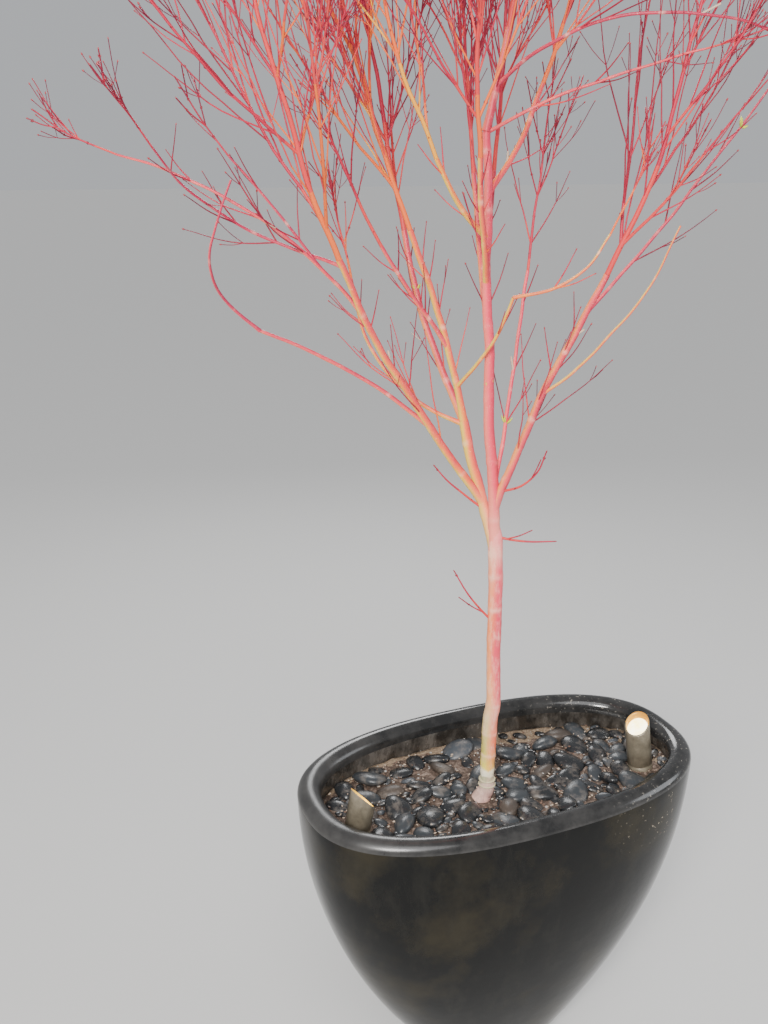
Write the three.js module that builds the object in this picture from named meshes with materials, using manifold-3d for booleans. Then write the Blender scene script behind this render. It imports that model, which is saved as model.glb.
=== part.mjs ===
// Coral-bark maple, bare in winter, in an oval glazed pot with two small uplights.
// Millimetres, +Z up. The origin is at the middle of the pot's foot, +X runs along the pot.
import * as THREE from 'three';
import { mergeVertices } from 'three/addons/utils/BufferGeometryUtils.js';
import Module from 'manifold-3d';

const wasm = await Module();
wasm.setup();

// Clearance left between pieces that touch
const GAP = 0.3;

// Pot: an oval that swells from a small flat foot to a thick rounded lip
const POT = {
  height: 590,
  rimHalf: [349, 194],
  footHalf: [95, 62],
  rimOval: 2.48,
  footOval: 2.1,
  fullness: 2.1,
  lipWidth: 38,
  lipRise: 17,
  wall: 24,
  floor: 45,
  sides: 44,
  outerLevels: [0, 16, 42, 80, 135, 205, 290, 390, 490],
  innerLevels: [90, 150, 240, 350, 470],
  lipTurns: [40, 80, 115, 150],
};

// Soil, which falls a little from the front of the pot to its back, and the pebbles half sunk in it
const SOIL_TOP = 545;
const BED_FALL = 0.08;
const PEBBLES = { spacing: 58, half: [19, 28], rows: 3, columns: 6, jitter: 6, margin: 4, seed: 5 };

// Uplights: a barrel cut off at a slant, with a lens set into its mouth.
// The mouth faces one way and the barrel leans another.
const LAMP = { radius: 21, wall: 3, recess: 8, lens: 5, sides: 18 };
const LAMPS = [
  { name: 'uplight_right', x: 246, y: -59, height: 87, faces: 205, slant: 36, leansTo: 157, lean: 8 },
  { name: 'uplight_left', x: -274, y: -35, height: 62, faces: 9, slant: 48, leansTo: 337, lean: 9 },
];

// Trunk: stretches from the soil to the fork, and its radius at heights along it.
// Headings are degrees from +X, leans are degrees from upright.
const TRUNK = {
  foot: [-50, -28],
  sunk: 3,
  sides: 12,
  stretches: [
    { length: 24, heading: 337, lean: 21, steps: 2 },
    { length: 129, heading: 357, lean: 1, steps: 3 },
    { length: 30, heading: 345, lean: 7, steps: 1 },
    { length: 275, heading: 150, lean: 1, steps: 4 },
  ],
  radii: [[0, 16.5], [12, 13.8], [24, 12.8], [67, 11.6], [153, 12.2], [183, 11.7], [252, 11], [458, 11.4]],
};

// Limbs turn evenly from a first heading and lean to a last one.
// Name, parent, distance along the parent, headings, leans, length, radii, sides
const LIMBS = [
  ['left_stem', 'trunk', 447, [127, 127], [20, 14], 202, [8.6, 7.4], 8],
  ['leader', 'trunk', 447, [165, 165], [5, 1], 600, [9, 5.6], 8],
  ['leader_top', 'leader', 600, [350, 350], [12, 12], 130, [5.4, 4.4], 7],
  ['bough_left', 'left_stem', 76, [160, 210], [36, 31], 440, [6.3, 4.4], 7],
  ['bough_inner', 'left_stem', 202, [110, 114], [37, 14], 300, [5.6, 4.4], 7],
  ['bough_orange', 'left_stem', 202, [166, 166], [11, 23], 290, [5.4, 4.2], 7],
  ['bough_low', 'left_stem', 196, [145, 143], [75, 4], 290, [3.4, 2], 5],
  ['bough_cross', 'bough_orange', 114, [181, 181], [37, 34], 180, [3.4, 2.6], 5],
  ['bough_right', 'leader', 65, [318, 318], [18, 27], 380, [6.4, 4.4], 7],
  ['slender_right', 'leader', 89, [31, 31], [16, 10], 330, [3.2, 2.4], 5],
  ['hook_lower', 'bough_left', 146, [162, 166], [49, 69], 284, [3.4, 2.4], 5],
  ['hook_upper', 'hook_lower', 284, [156, 346], [52, 18], 250, [2.4, 1.3], 5],
  ['sweep_front', 'bough_orange', 53, [283, 285], [52, 25], 182, [2.8, 2.3], 5],
  ['sweep_right', 'sweep_front', 182, [337, 337], [88, 26], 157, [2.2, 1.6], 5],
  ['bough_gold', 'leader', 461, [191, 193], [55, 28], 140, [4, 3.2], 7],
  ['bough_rose', 'leader', 454, [57, 52], [42, 18], 110, [4.2, 3.4], 7],
  ['far_left', 'bough_left', 350, [185, 141], [37, 77], 390, [2.8, 1.4], 5],
  ['left_twin', 'far_left', 88, [167, 167], [36, 42], 180, [2, 1.4], 5],
  ['long_left', 'bough_left', 428, [116, 236], [78, 46], 320, [2.4, 1.4], 5],
  ['side_right', 'bough_right', 190, [309, 312], [53, 20], 300, [2.2, 1.2], 5],
  ['far_right', 'bough_right', 320, [322, 332], [40, 32], 350, [2.6, 1.4], 5],
  ['arch_right', 'leader_top', 58, [300, 352], [50, 130], 470, [2.6, 1.2], 5],
  ['reach_right', 'leader', 598, [320, 320], [62, 80], 290, [2.4, 1.4], 5],
  ['bough_back', 'leader', 330, [75, 75], [38, 24], 250, [4.6, 3.6], 7],
  ['bough_front', 'leader', 400, [235, 235], [42, 24], 200, [4.2, 3.4], 7],
  ['bough_far', 'leader', 520, [20, 20], [48, 26], 180, [4.2, 3.4], 7],
];
const LIMB_STEP = 60;

// Masses of bare twigs: one stem goes on from the limb's tip and turns to a heading and lean,
// with pairs of shoots in a widening space of its own.
// Name, limb, stem's length, heading, lean, reach, pairs of shoots, seed, opening angle
const MASSES = [
  ['crown_top', 'leader_top', 510, 350, 3, 150, 6, 11, 30],
  ['spray_gold', 'bough_gold', 540, 195, 8, 120, 6, 12, 30],
  ['spray_rose', 'bough_rose', 540, 45, 8, 120, 6, 13, 30],
  ['spray_inner', 'bough_inner', 630, 112, 12, 140, 6, 14, 30],
  ['spray_orange', 'bough_orange', 620, 172, 12, 140, 6, 15, 30],
  ['spray_left', 'bough_left', 680, 160, 9, 210, 7, 16, 34],
  ['spray_right', 'bough_right', 600, 350, 3, 190, 7, 17, 32],
  ['spray_back', 'bough_back', 600, 75, 20, 180, 6, 18, 30],
  ['spray_front', 'bough_front', 570, 240, 19, 160, 6, 19, 30],
  ['spray_far', 'bough_far', 520, 15, 15, 160, 6, 20, 30],
  ['tips_far_left', 'far_left', 120, 150, 60, 60, 2, 31, 30],
  ['tips_left_twin', 'left_twin', 110, 165, 30, 50, 2, 32, 30],
  ['tips_long_left', 'long_left', 120, 200, 40, 60, 2, 33, 30],
  ['tips_low', 'bough_low', 170, 150, 12, 70, 3, 35, 30],
  ['tips_cross', 'bough_cross', 260, 185, 20, 80, 3, 36, 30],
  ['tips_sweep', 'sweep_right', 150, 300, 10, 60, 2, 37, 30],
  ['tips_slender', 'slender_right', 300, 30, 10, 80, 3, 38, 30],
  ['tips_far_right', 'far_right', 120, 325, 20, 60, 2, 40, 30],
  ['tips_reach', 'reach_right', 110, 320, 70, 60, 2, 42, 30],
];

// Sprigs: short twigs low on the trunk and at the forks.
// Name, limb, distance along it, heading, leans, length, seed, side shoots kept
const SPRIGS = [
  ['sprig_trunk_left', 'trunk', 321, 168, [44, 27], 115, 51, 1],
  ['sprig_trunk_right', 'leader', 20, 324, [99, 82], 92, 52, 1],
  ['sprig_fork_left', 'left_stem', 62, 163, [54, 40], 106, 53, 0],
  ['sprig_fork_right', 'bough_right', 29, 311, [80, 8], 104, 54, 1],
];

// The rule by which every mass grows
const GROWTH = {
  upward: 0.3,
  lastPair: 0.93,
  stemStep: 100,
  twigStep: 130,
  footShare: 0.94,
  childShare: 0.62,
  tipRadius: 1,
  clearance: 1.2,
  familyClearance: 0.8,
  shares: [1, 0.75, 0.55],
  skipped: [0, 0.12, 0.6],
  large: { least: 70, firstPair: 0.04 },
  small: { least: 50, firstPair: 0.2 },
  shoot: { longness: 0.85 },
  side: { longness: 0.62, firstPair: 0.2, openShare: 0.9 },
  sprig: { least: 40, firstPair: 0.12, longness: 0.72, open: 30, radius: 2.2, step: 40 },
};

const UP = new THREE.Vector3(0, 0, 1);
const FRAME_HINT = new THREE.Vector3(0.3, 0.9, 0.2);
const rad = THREE.MathUtils.degToRad;
const mix = THREE.MathUtils.lerp;
const clamp = (v) => THREE.MathUtils.clamp(v, 0, 1);
const blend = (a, b, w) => a.clone().multiplyScalar(1 - w).addScaledVector(b, w).normalize();

function aim(heading, lean) {
  const h = rad(heading);
  const l = rad(lean);
  return new THREE.Vector3(Math.sin(l) * Math.cos(h), Math.sin(l) * Math.sin(h), Math.cos(l));
}

// A repeatable dice: the same seed always grows the same twigs.
function dice(seed) {
  let state = seed >>> 0;
  return (low = 0, high = 1) => {
    state = (state + 0x6d2b79f5) >>> 0;
    let t = state;
    t = Math.imul(t ^ (t >>> 15), t | 1);
    t ^= t + Math.imul(t ^ (t >>> 7), t | 61);
    return low + ((high - low) * ((t ^ (t >>> 14)) >>> 0)) / 4294967296;
  };
}

// From a closed geometry to a solid that can be cut and joined, and back
function weld(geometry) {
  geometry.deleteAttribute('normal');
  geometry.deleteAttribute('uv');
  return mergeVertices(geometry, 1e-4);
}

function solidOf(geometry) {
  const merged = weld(geometry);
  const vertProperties = merged.getAttribute('position').array;
  const triVerts = new Uint32Array(merged.index.array);
  return new wasm.Manifold(new wasm.Mesh({ numProp: 3, vertProperties, triVerts }));
}

function geometryOf(solid) {
  const { vertProperties, triVerts } = solid.getMesh();
  const geometry = new THREE.BufferGeometry();
  geometry.setAttribute('position', new THREE.BufferAttribute(vertProperties, 3));
  geometry.setIndex(new THREE.BufferAttribute(triVerts, 1));
  geometry.computeVertexNormals();
  return geometry;
}

// A closed column of rings: a circle is extruded, then each point is put in its place
// by the number of its ring and its angle round the ring.
function column(sides, rings, placeOf) {
  const circle = new THREE.Shape(new THREE.EllipseCurve(0, 0, 1, 1).getPoints(sides).slice(1));
  const steps = rings - 1;
  const geometry = weld(new THREE.ExtrudeGeometry(circle, { depth: steps, steps, bevelEnabled: false }));
  const spots = geometry.getAttribute('position');
  for (let i = 0; i < spots.count; i += 1) {
    const turn = Math.atan2(spots.getY(i), spots.getX(i));
    const { x, y, z } = placeOf(Math.round(spots.getZ(i)), turn);
    spots.setXYZ(i, x, y, z);
  }
  return solidOf(geometry);
}

// Tapering tube along a path, its frame carried along without twist
function tube(path, radii, sides) {
  let side = FRAME_HINT;
  const frames = path.map((p, i) => {
    const ahead = path[Math.min(i + 1, path.length - 1)].clone().sub(path[Math.max(i - 1, 0)]).normalize();
    if (i === 0) side = side.clone().cross(ahead);
    side = side.clone().addScaledVector(ahead, -side.dot(ahead)).normalize();
    return { side, across: ahead.clone().cross(side) };
  });
  return column(sides, path.length, (ring, turn) => {
    const { side: a, across: b } = frames[ring];
    const out = a.clone().multiplyScalar(Math.cos(turn)).addScaledVector(b, Math.sin(turn));
    return path[ring].clone().addScaledVector(out, radii[ring]);
  });
}

// Everything on the far side of a point, as a large block to cut with
function beyond(point, normal) {
  const size = 600;
  const block = new THREE.BoxGeometry(size, size, size).translate(0, 0, size / 2);
  block.applyQuaternion(new THREE.Quaternion().setFromUnitVectors(UP, normal.clone().normalize()));
  return solidOf(block.translate(point.x, point.y, point.z));
}

// Paths
function leaningPath(start, heading, lean, length, step) {
  const n = Math.max(3, Math.round(length / step));
  const path = [start.clone()];
  for (let i = 0; i < n; i += 1) {
    const t = (i + 0.5) / n;
    const dir = aim(mix(heading[0], heading[1], t), mix(lean[0], lean[1], t));
    path.push(path[i].clone().addScaledVector(dir, length / n));
  }
  return path;
}

// A twig turns early from its first direction to its last.
function twigPath(start, first, last, length, step, least) {
  const n = Math.max(least, Math.round(length / step));
  const path = [start.clone()];
  for (let i = 0; i < n; i += 1) {
    const w = (1 - (i + 0.5) / n) ** 2;
    path.push(path[i].clone().addScaledVector(blend(last, first, w), length / n));
  }
  return path;
}

const lengthOf = (path) => path.slice(1).reduce((sum, p, i) => sum + p.distanceTo(path[i]), 0);
const taper = (foot, tip, count) => Array.from({ length: count }, (_, i) => mix(foot, tip, i / (count - 1)));
const lastOf = (list) => list[list.length - 1];

function along(path, distance) {
  let left = distance;
  let i = 0;
  while (i + 2 < path.length && left > path[i].distanceTo(path[i + 1])) {
    left -= path[i].distanceTo(path[i + 1]);
    i += 1;
  }
  const dir = path[i + 1].clone().sub(path[i]).normalize();
  return { point: path[i].clone().addScaledVector(dir, left), dir };
}

// Pot: how far the body has swollen at a height, from 0 at the foot to 1 at the rim
const swell = (z) => 1 - (1 - Math.min(z / POT.height, 1)) ** POT.fullness;
const lipBase = POT.height - POT.lipRise;
const wallAt = (z) => mix(POT.wall, POT.lipWidth, THREE.MathUtils.smoothstep(z, 470, lipBase));

function potHalves(level, inset) {
  const s = swell(level);
  return [0, 1].map((side) => mix(POT.footHalf[side], POT.rimHalf[side], s) - inset);
}

// A point of an oval of the pot's form, at a level of the body and moved in by an inset
function ovalPoint({ level, inset, z = level }, turn) {
  const [halfX, halfY] = potHalves(level, inset);
  const power = 2 / mix(POT.footOval, POT.rimOval, swell(level));
  const bulge = (v) => Math.sign(v) * Math.abs(v) ** power;
  return new THREE.Vector3(halfX * bulge(Math.cos(turn)), halfY * bulge(Math.sin(turn)), z);
}

function buildPot() {
  const outside = [...POT.outerLevels, lipBase].map((level) => ({ level, inset: 0 }));
  const lip = POT.lipTurns.map((turn) => {
    const inset = (POT.lipWidth / 2) * (1 - Math.cos(rad(turn)));
    return { level: lipBase, inset, z: lipBase + POT.lipRise * Math.sin(rad(turn)) };
  });
  const levels = [lipBase, SOIL_TOP, ...POT.innerLevels.toReversed(), POT.floor];
  const inside = levels.map((level) => ({ level, inset: wallAt(level) }));
  const ovals = [...outside, ...lip, ...inside];
  return column(POT.sides, ovals.length, (ring, turn) => ovalPoint(ovals[ring], turn));
}

// Soil with pebbles
const bedAt = (y) => SOIL_TOP - BED_FALL * (y - TRUNK.foot[1]);

// Everything below the bed, less the clearance kept above it
function underBed(x, y) {
  return beyond(new THREE.Vector3(x, y, bedAt(y) + GAP), new THREE.Vector3(0, -BED_FALL, -1));
}

function pebble(x, y, half, roll) {
  const flat = half * roll(0.4, 0.6);
  const stone = new THREE.IcosahedronGeometry(1, 0);
  stone.scale(half, half * roll(0.62, 0.85), flat);
  stone.rotateX(roll(-0.2, 0.2));
  stone.rotateZ(roll(0, Math.PI));
  stone.translate(x, y, bedAt(y) + flat * 0.35);
  return solidOf(stone);
}

function insideBed(x, y, margin) {
  const [halfX, halfY] = potHalves(SOIL_TOP, wallAt(SOIL_TOP) + margin);
  return Math.abs(x / halfX) ** POT.rimOval + Math.abs(y / halfY) ** POT.rimOval < 1;
}

function buildSoil() {
  const { spacing, half, rows, columns, jitter, margin, seed } = PEBBLES;
  const ovalAt = (level) => ({ level, inset: wallAt(level) + GAP * (level < 160 ? 2 : 1.3) });
  const ovals = [POT.floor, ...POT.innerLevels].map(ovalAt);
  ovals[0].z = POT.floor + GAP;
  // The top edge goes up or down the wall to the sloping bed.
  const topEdge = (turn) => {
    const point = ovalPoint(ovalAt(SOIL_TOP), turn);
    const rise = bedAt(point.y) - SOIL_TOP;
    const next = ovalAt(rise > 0 ? lipBase : lastOf(POT.innerLevels));
    return point.lerp(ovalPoint(next, turn), rise / (next.level - SOIL_TOP));
  };
  let bed = column(POT.sides, ovals.length + 1, (ring, turn) => {
    return ring < ovals.length ? ovalPoint(ovals[ring], turn) : topEdge(turn);
  });
  const roll = dice(seed);
  const kept = [{ x: TRUNK.foot[0], y: TRUNK.foot[1], r: 26 }, ...LAMPS.map(({ x, y }) => ({ x, y, r: 30 }))];
  for (let row = -rows; row <= rows; row += 1) {
    for (let place = -columns; place <= columns; place += 1) {
      const x = (place + (row % 2 ? 0.5 : 0)) * spacing + roll(-jitter, jitter);
      const y = row * spacing * 0.86 + roll(-jitter, jitter);
      const size = roll(...half);
      const clearOf = kept.every((k) => Math.hypot(x - k.x, y - k.y) > k.r + size);
      if (clearOf && insideBed(x, y, size + margin)) bed = bed.add(pebble(x, y, size, roll));
    }
  }
  return bed;
}

// Uplights
function buildLamp({ x, y, height, faces, slant, leansTo, lean }) {
  const foot = new THREE.Vector3(x, y, bedAt(y));
  const axis = aim(leansTo, lean);
  const spare = 20;
  const barrel = (r) => {
    const ends = [-spare, height + 2 * spare].map((d) => foot.clone().addScaledVector(axis, d));
    return tube(ends, [r, r], LAMP.sides);
  };
  const outward = aim(faces, slant);
  const mouth = foot.clone().addScaledVector(axis, height);
  const above = (depth) => beyond(mouth.clone().addScaledVector(outward, -depth), outward);
  const pocket = barrel(LAMP.radius - LAMP.wall).intersect(above(LAMP.recess));
  const seat = LAMP.recess - GAP;
  return {
    body: barrel(LAMP.radius).subtract(underBed(x, y)).subtract(above(0)).subtract(pocket),
    lens: barrel(LAMP.radius - LAMP.wall - GAP).intersect(above(seat)).subtract(above(seat - LAMP.lens)),
  };
}

// Tree: what is settled so far, so that nothing new touches it
const limbs = new Map();
const settled = [];

function settle(owner, path, radii) {
  for (let i = 0; i + 1 < path.length; i += 1) {
    settled.push({ owner, a: path[i], b: path[i + 1], r: Math.max(radii[i], radii[i + 1]) });
  }
}

// Least distance between the segments pq and ab
function apart(p, q, a, b) {
  const d1 = q.clone().sub(p);
  const d2 = b.clone().sub(a);
  const r = p.clone().sub(a);
  const aa = d1.dot(d1);
  const ee = d2.dot(d2);
  const bb = d1.dot(d2);
  const c = d1.dot(r);
  const f = d2.dot(r);
  const det = aa * ee - bb * bb;
  let s = det > 1e-9 ? clamp((bb * f - c * ee) / det) : 0;
  const t = (bb * s + f) / ee;
  if (t < 0) s = clamp(-c / aa);
  if (t > 1) s = clamp((bb - c) / aa);
  return p.clone().addScaledVector(d1, s).distanceTo(a.clone().addScaledVector(d2, clamp(t)));
}

function isFree(path, radii, own, gap) {
  for (let i = 0; i + 1 < path.length; i += 1) {
    const r = Math.max(radii[i], radii[i + 1]) + gap;
    const reach = path[i].distanceTo(path[i + 1]) + r;
    for (const s of settled) {
      const near = s.a.distanceTo(path[i]) < reach + s.r + s.a.distanceTo(s.b);
      if (near && s.owner !== own && apart(path[i], path[i + 1], s.a, s.b) < r + s.r) return false;
    }
  }
  return true;
}

// A limb is cut by its grown parent and grown elder siblings, so that each keeps its clearance.
function addLimb(name, path, radii, sides, cutBy) {
  const tip = lastOf(path);
  const tipDir = along(path, lengthOf(path)).dir;
  const grown = [...radii, lastOf(radii)].map((r) => r + GAP);
  const cutter = tube([...path, tip.clone().addScaledVector(tipDir, GAP)], grown, sides);
  const whole = tube(path, radii, sides);
  const shape = cutBy.reduce((left, other) => left.subtract(limbs.get(other).cutter), whole);
  limbs.set(name, { path, radii, shape, cutter, tip, tipDir });
  settle(name, path, radii);
}

function radiusAt(marks, distance) {
  const k = Math.max(1, marks.findIndex(([at]) => at >= distance - 1e-6));
  const [[d0, r0], [d1, r1]] = [marks[k - 1], marks[k]];
  return mix(r0, r1, clamp((distance - d0) / (d1 - d0)));
}

function addTrunk() {
  const path = [new THREE.Vector3(...TRUNK.foot, SOIL_TOP - TRUNK.sunk)];
  const distances = [0];
  TRUNK.stretches.forEach(({ length, heading, lean, steps }) => {
    for (let i = 0; i < steps; i += 1) {
      path.push(lastOf(path).clone().addScaledVector(aim(heading, lean), length / steps));
      distances.push(lastOf(distances) + length / steps);
    }
  });
  addLimb('trunk', path, distances.map((d) => radiusAt(TRUNK.radii, d)), TRUNK.sides, []);
  const trunk = limbs.get('trunk');
  trunk.shape = trunk.shape.subtract(underBed(...TRUNK.foot));
}

function addLimbs() {
  LIMBS.forEach(([name, from, at, heading, lean, length, radius, sides]) => {
    const start = along(limbs.get(from).path, at).point;
    const path = leaningPath(start, heading, lean, length, LIMB_STEP);
    const elders = LIMBS.filter((other) => other[1] === from && limbs.has(other[0])).map(([elder]) => elder);
    addLimb(name, path, taper(radius[0], radius[1], path.length), sides, [from, ...elders]);
  });
}

// A shoot leaves its parent's axis at an opening angle, turned about that axis.
function sideDirection(dir, turn, open) {
  const a = dir.clone().cross(FRAME_HINT).normalize();
  const out = a.clone().multiplyScalar(Math.cos(turn)).addScaledVector(dir.clone().cross(a), Math.sin(turn));
  return dir.clone().multiplyScalar(Math.cos(open)).addScaledVector(out, Math.sin(open)).normalize();
}

function clearOfFamily(family, parent, path, radii) {
  return family.every((other) => {
    if (other === parent) return true;
    for (let i = 0; i + 1 < path.length; i += 1) {
      const from = i === 0 ? path[0].clone().lerp(path[1], 0.25) : path[i];
      for (let k = 0; k + 1 < other.path.length; k += 1) {
        const r = Math.max(other.radii[k], other.radii[k + 1]) + radii[i] + GROWTH.familyClearance;
        if (apart(from, path[i + 1], other.path[k], other.path[k + 1]) < r) return false;
      }
    }
    return true;
  });
}

// Pairs of opposite shoots along a parent, each pair turned a quarter from the last.
// A shoot that would leave the space or touch anything is tried shorter, then skipped.
function growPairs(family, parent, plan) {
  const { count, firstPair, longness, open, level, least, roll, name, inside } = plan;
  const length = lengthOf(parent.path);
  const phase = roll(0, Math.PI);
  for (let i = 0; i < count; i += 1) {
    const at = length * (firstPair + ((GROWTH.lastPair - firstPair) * (i + roll(0.1, 0.7))) / count);
    const { point, dir } = along(parent.path, at);
    const thick = mix(parent.radii[0], lastOf(parent.radii), at / length) * GROWTH.childShare;
    const turn = phase + (i * Math.PI) / 2 + roll(-0.35, 0.35);
    for (const half of [0, Math.PI]) {
      const first = sideDirection(dir, turn + half, rad(open * roll(0.75, 1.2)));
      const wanted = Math.max(least, (length - at) * longness * roll(0.7, 1.1));
      const drift = new THREE.Vector3(roll(-0.12, 0.12), roll(-0.12, 0.12), 0);
      const last = blend(first, UP, GROWTH.upward).add(drift).normalize();
      const grows = roll() >= GROWTH.skipped[level];
      for (const share of grows ? GROWTH.shares : []) {
        const path = twigPath(point, first, last, wanted * share, GROWTH.twigStep, 3 - level);
        const radii = taper(Math.max(GROWTH.tipRadius, thick), GROWTH.tipRadius * 0.85, path.length);
        const clear = isFree(path, radii, name, GROWTH.clearance);
        if (clear && clearOfFamily(family, parent, path, radii) && path.slice(1).every(inside)) {
          family.push({ path, radii, sides: 3 });
          break;
        }
      }
    }
  }
}

function growMass([name, on, length, heading, lean, reach, pairs, seed, open]) {
  const limb = limbs.get(on);
  const roll = dice(seed);
  const start = limb.tip.clone().addScaledVector(limb.tipDir, GAP);
  const path = twigPath(start, limb.tipDir, aim(heading, lean), length, GROWTH.stemStep, 2);
  const foot = lastOf(limb.radii) * GROWTH.footShare;
  const stem = { path, radii: taper(foot, GROWTH.tipRadius, path.length), sides: 4 };
  const axis = lastOf(path).clone().sub(start).normalize();
  const inside = (p) => {
    const off = p.clone().sub(start);
    const t = off.dot(axis) / length;
    const wide = reach * (0.25 + 1.1 * clamp(t) ** 0.8);
    return t < 1.06 && t > -0.12 && off.addScaledVector(axis, -t * length).length() < wide;
  };
  const { least, firstPair } = pairs > 3 ? GROWTH.large : GROWTH.small;
  const family = [stem];
  const { longness } = GROWTH.shoot;
  growPairs(family, stem, { count: pairs, firstPair, longness, open, level: 1, least, roll, name, inside });
  const { side } = GROWTH;
  const shoots = pairs > 3 ? family.slice(1) : [];
  shoots.forEach((shoot) => {
    const size = lengthOf(shoot.path) / least;
    const count = (size > 1.3 ? 1 : 0) + (size > 1.8 ? 1 : 0);
    const plan = { count, firstPair: side.firstPair, longness: side.longness, open: open * side.openShare };
    growPairs(family, shoot, { ...plan, level: 2, least: least * 0.75, roll, name, inside });
  });
  return family;
}

function growSprig([name, from, at, heading, lean, length, seed, kept]) {
  const { sprig, tipRadius } = GROWTH;
  const start = along(limbs.get(from).path, at).point;
  const path = leaningPath(start, [heading, heading], lean, length, sprig.step);
  const stem = { path, radii: taper(sprig.radius, tipRadius, path.length), sides: 4 };
  const family = [stem];
  const inside = (p) => p.distanceTo(start) < length * 1.2;
  growPairs(family, stem, { ...sprig, count: 1, level: 1, roll: dice(seed), name, inside });
  return family.slice(0, 1 + kept);
}

const fuse = (family) => family.map((t) => tube(t.path, t.radii, t.sides)).reduce((all, one) => all.add(one));

// Assembly
const FINISHES = {
  glaze: new THREE.MeshStandardMaterial({ color: 0x15140f, roughness: 0.12 }),
  pebbles: new THREE.MeshStandardMaterial({ color: 0x2b2c2e, roughness: 0.35 }),
  bronze: new THREE.MeshStandardMaterial({ color: 0x6b5f52, roughness: 0.45, metalness: 0.6 }),
  lens: new THREE.MeshStandardMaterial({ color: 0xfff0cc, roughness: 0.1, emissive: 0xffd9a0 }),
  trunk: new THREE.MeshStandardMaterial({ color: 0xb98a66, roughness: 0.6 }),
  bough: new THREE.MeshStandardMaterial({ color: 0xc76a4c, roughness: 0.55 }),
  twig: new THREE.MeshStandardMaterial({ color: 0xb9404a, roughness: 0.5 }),
};

const group = new THREE.Group();
group.name = 'potted_maple';

function place(name, solid, finish) {
  const mesh = new THREE.Mesh(geometryOf(solid), FINISHES[finish].clone());
  mesh.name = name;
  group.add(mesh);
}

place('pot', buildPot(), 'glaze');
place('soil_and_pebbles', buildSoil(), 'pebbles');
LAMPS.forEach((lamp) => {
  const { body, lens } = buildLamp(lamp);
  place(lamp.name, body, 'bronze');
  place(`${lamp.name}_lens`, lens, 'lens');
});

addTrunk();
addLimbs();
limbs.forEach(({ shape }, name) => place(name, shape, name === 'trunk' ? 'trunk' : 'bough'));

MASSES.forEach((row) => {
  const family = growMass(row);
  family.forEach(({ path, radii }) => settle(row[0], path, radii));
  place(row[0], fuse(family), 'twig');
});
SPRIGS.forEach((row) => {
  const family = growSprig(row);
  family.forEach(({ path, radii }) => settle(row[0], path, radii));
  place(row[0], fuse(family).subtract(limbs.get(row[1]).cutter), 'twig');
});

export default group;
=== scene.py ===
import math

import bmesh
import bpy
import numpy as np
from mathutils import Matrix, Vector, noise


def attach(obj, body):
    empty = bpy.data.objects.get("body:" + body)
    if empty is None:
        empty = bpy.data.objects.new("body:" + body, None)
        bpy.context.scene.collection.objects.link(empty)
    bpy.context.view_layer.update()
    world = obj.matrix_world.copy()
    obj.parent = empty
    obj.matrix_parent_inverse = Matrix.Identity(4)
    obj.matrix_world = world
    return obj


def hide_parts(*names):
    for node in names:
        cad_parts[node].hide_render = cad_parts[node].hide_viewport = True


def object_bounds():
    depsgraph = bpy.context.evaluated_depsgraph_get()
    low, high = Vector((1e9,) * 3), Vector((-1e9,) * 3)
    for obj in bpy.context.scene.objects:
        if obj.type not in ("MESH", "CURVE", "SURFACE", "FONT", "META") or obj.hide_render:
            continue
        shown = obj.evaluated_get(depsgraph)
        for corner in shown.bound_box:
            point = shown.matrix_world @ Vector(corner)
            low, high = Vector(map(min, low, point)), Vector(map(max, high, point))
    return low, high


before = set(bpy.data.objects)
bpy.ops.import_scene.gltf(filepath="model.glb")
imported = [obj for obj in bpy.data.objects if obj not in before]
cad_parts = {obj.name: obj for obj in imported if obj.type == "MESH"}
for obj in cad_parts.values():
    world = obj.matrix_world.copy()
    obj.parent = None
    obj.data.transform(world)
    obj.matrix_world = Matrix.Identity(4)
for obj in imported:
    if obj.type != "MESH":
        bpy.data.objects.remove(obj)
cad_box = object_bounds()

# Coral-barked maple in winter, in an oval glazed pot with two small uplights.
# Sizes are millimetres in the pot's frame, and meshes are made in metres.
MM = 0.001

# Air left between two solids that meet
GAP = 0.3

# Pot, soil and uplights
POT = dict(height=590, rim=(349, 194), foot=(95, 62), rim_oval=2.48, foot_oval=2.1, fullness=2.1)
LIP = dict(width=38, rise=17, wall=24)
LIP_BASE = POT["height"] - LIP["rise"]
NECK = 470
POT_FLOOR = 45
POT_SIDES = 144
SOIL_TOP = 545
BED_FALL = 0.08
LAMP = dict(radius=21, wall=3, recess=8)

# Place, height to the mouth, heading and slant of the mouth, heading and lean of the barrel
LAMPS = {"uplight_right": (246, -59, 87, 205, 36, 157, 8), "uplight_left": (-274, -35, 62, 9, 48, 337, 9)}

# Trunk: stretches from the soil to the fork as length, heading, lean and steps,
# then radii at distances along it
TRUNK_FOOT = (-50, -28)
TRUNK_SUNK = 3
TRUNK_STRETCHES = [(24, 337, 21, 2), (129, 357, 1, 3), (30, 345, 7, 1), (275, 150, 1, 4)]
TRUNK_RADII = [
    (0, 16.5), (12, 13.8), (24, 12.8), (67, 11.6),
    (153, 12.2), (183, 11.7), (252, 11), (458, 11.4),
]

# Raised rings at the graft as distances along the trunk and widths, its waist, then the old nodes above it
GRAFT_RINGS = [(33, 2.4), (43, 1.8)]
GRAFT_WAIST = 47
TRUNK_NODES = [88, 128, 181, 213, 255, 297, 349, 402, 440]

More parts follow.
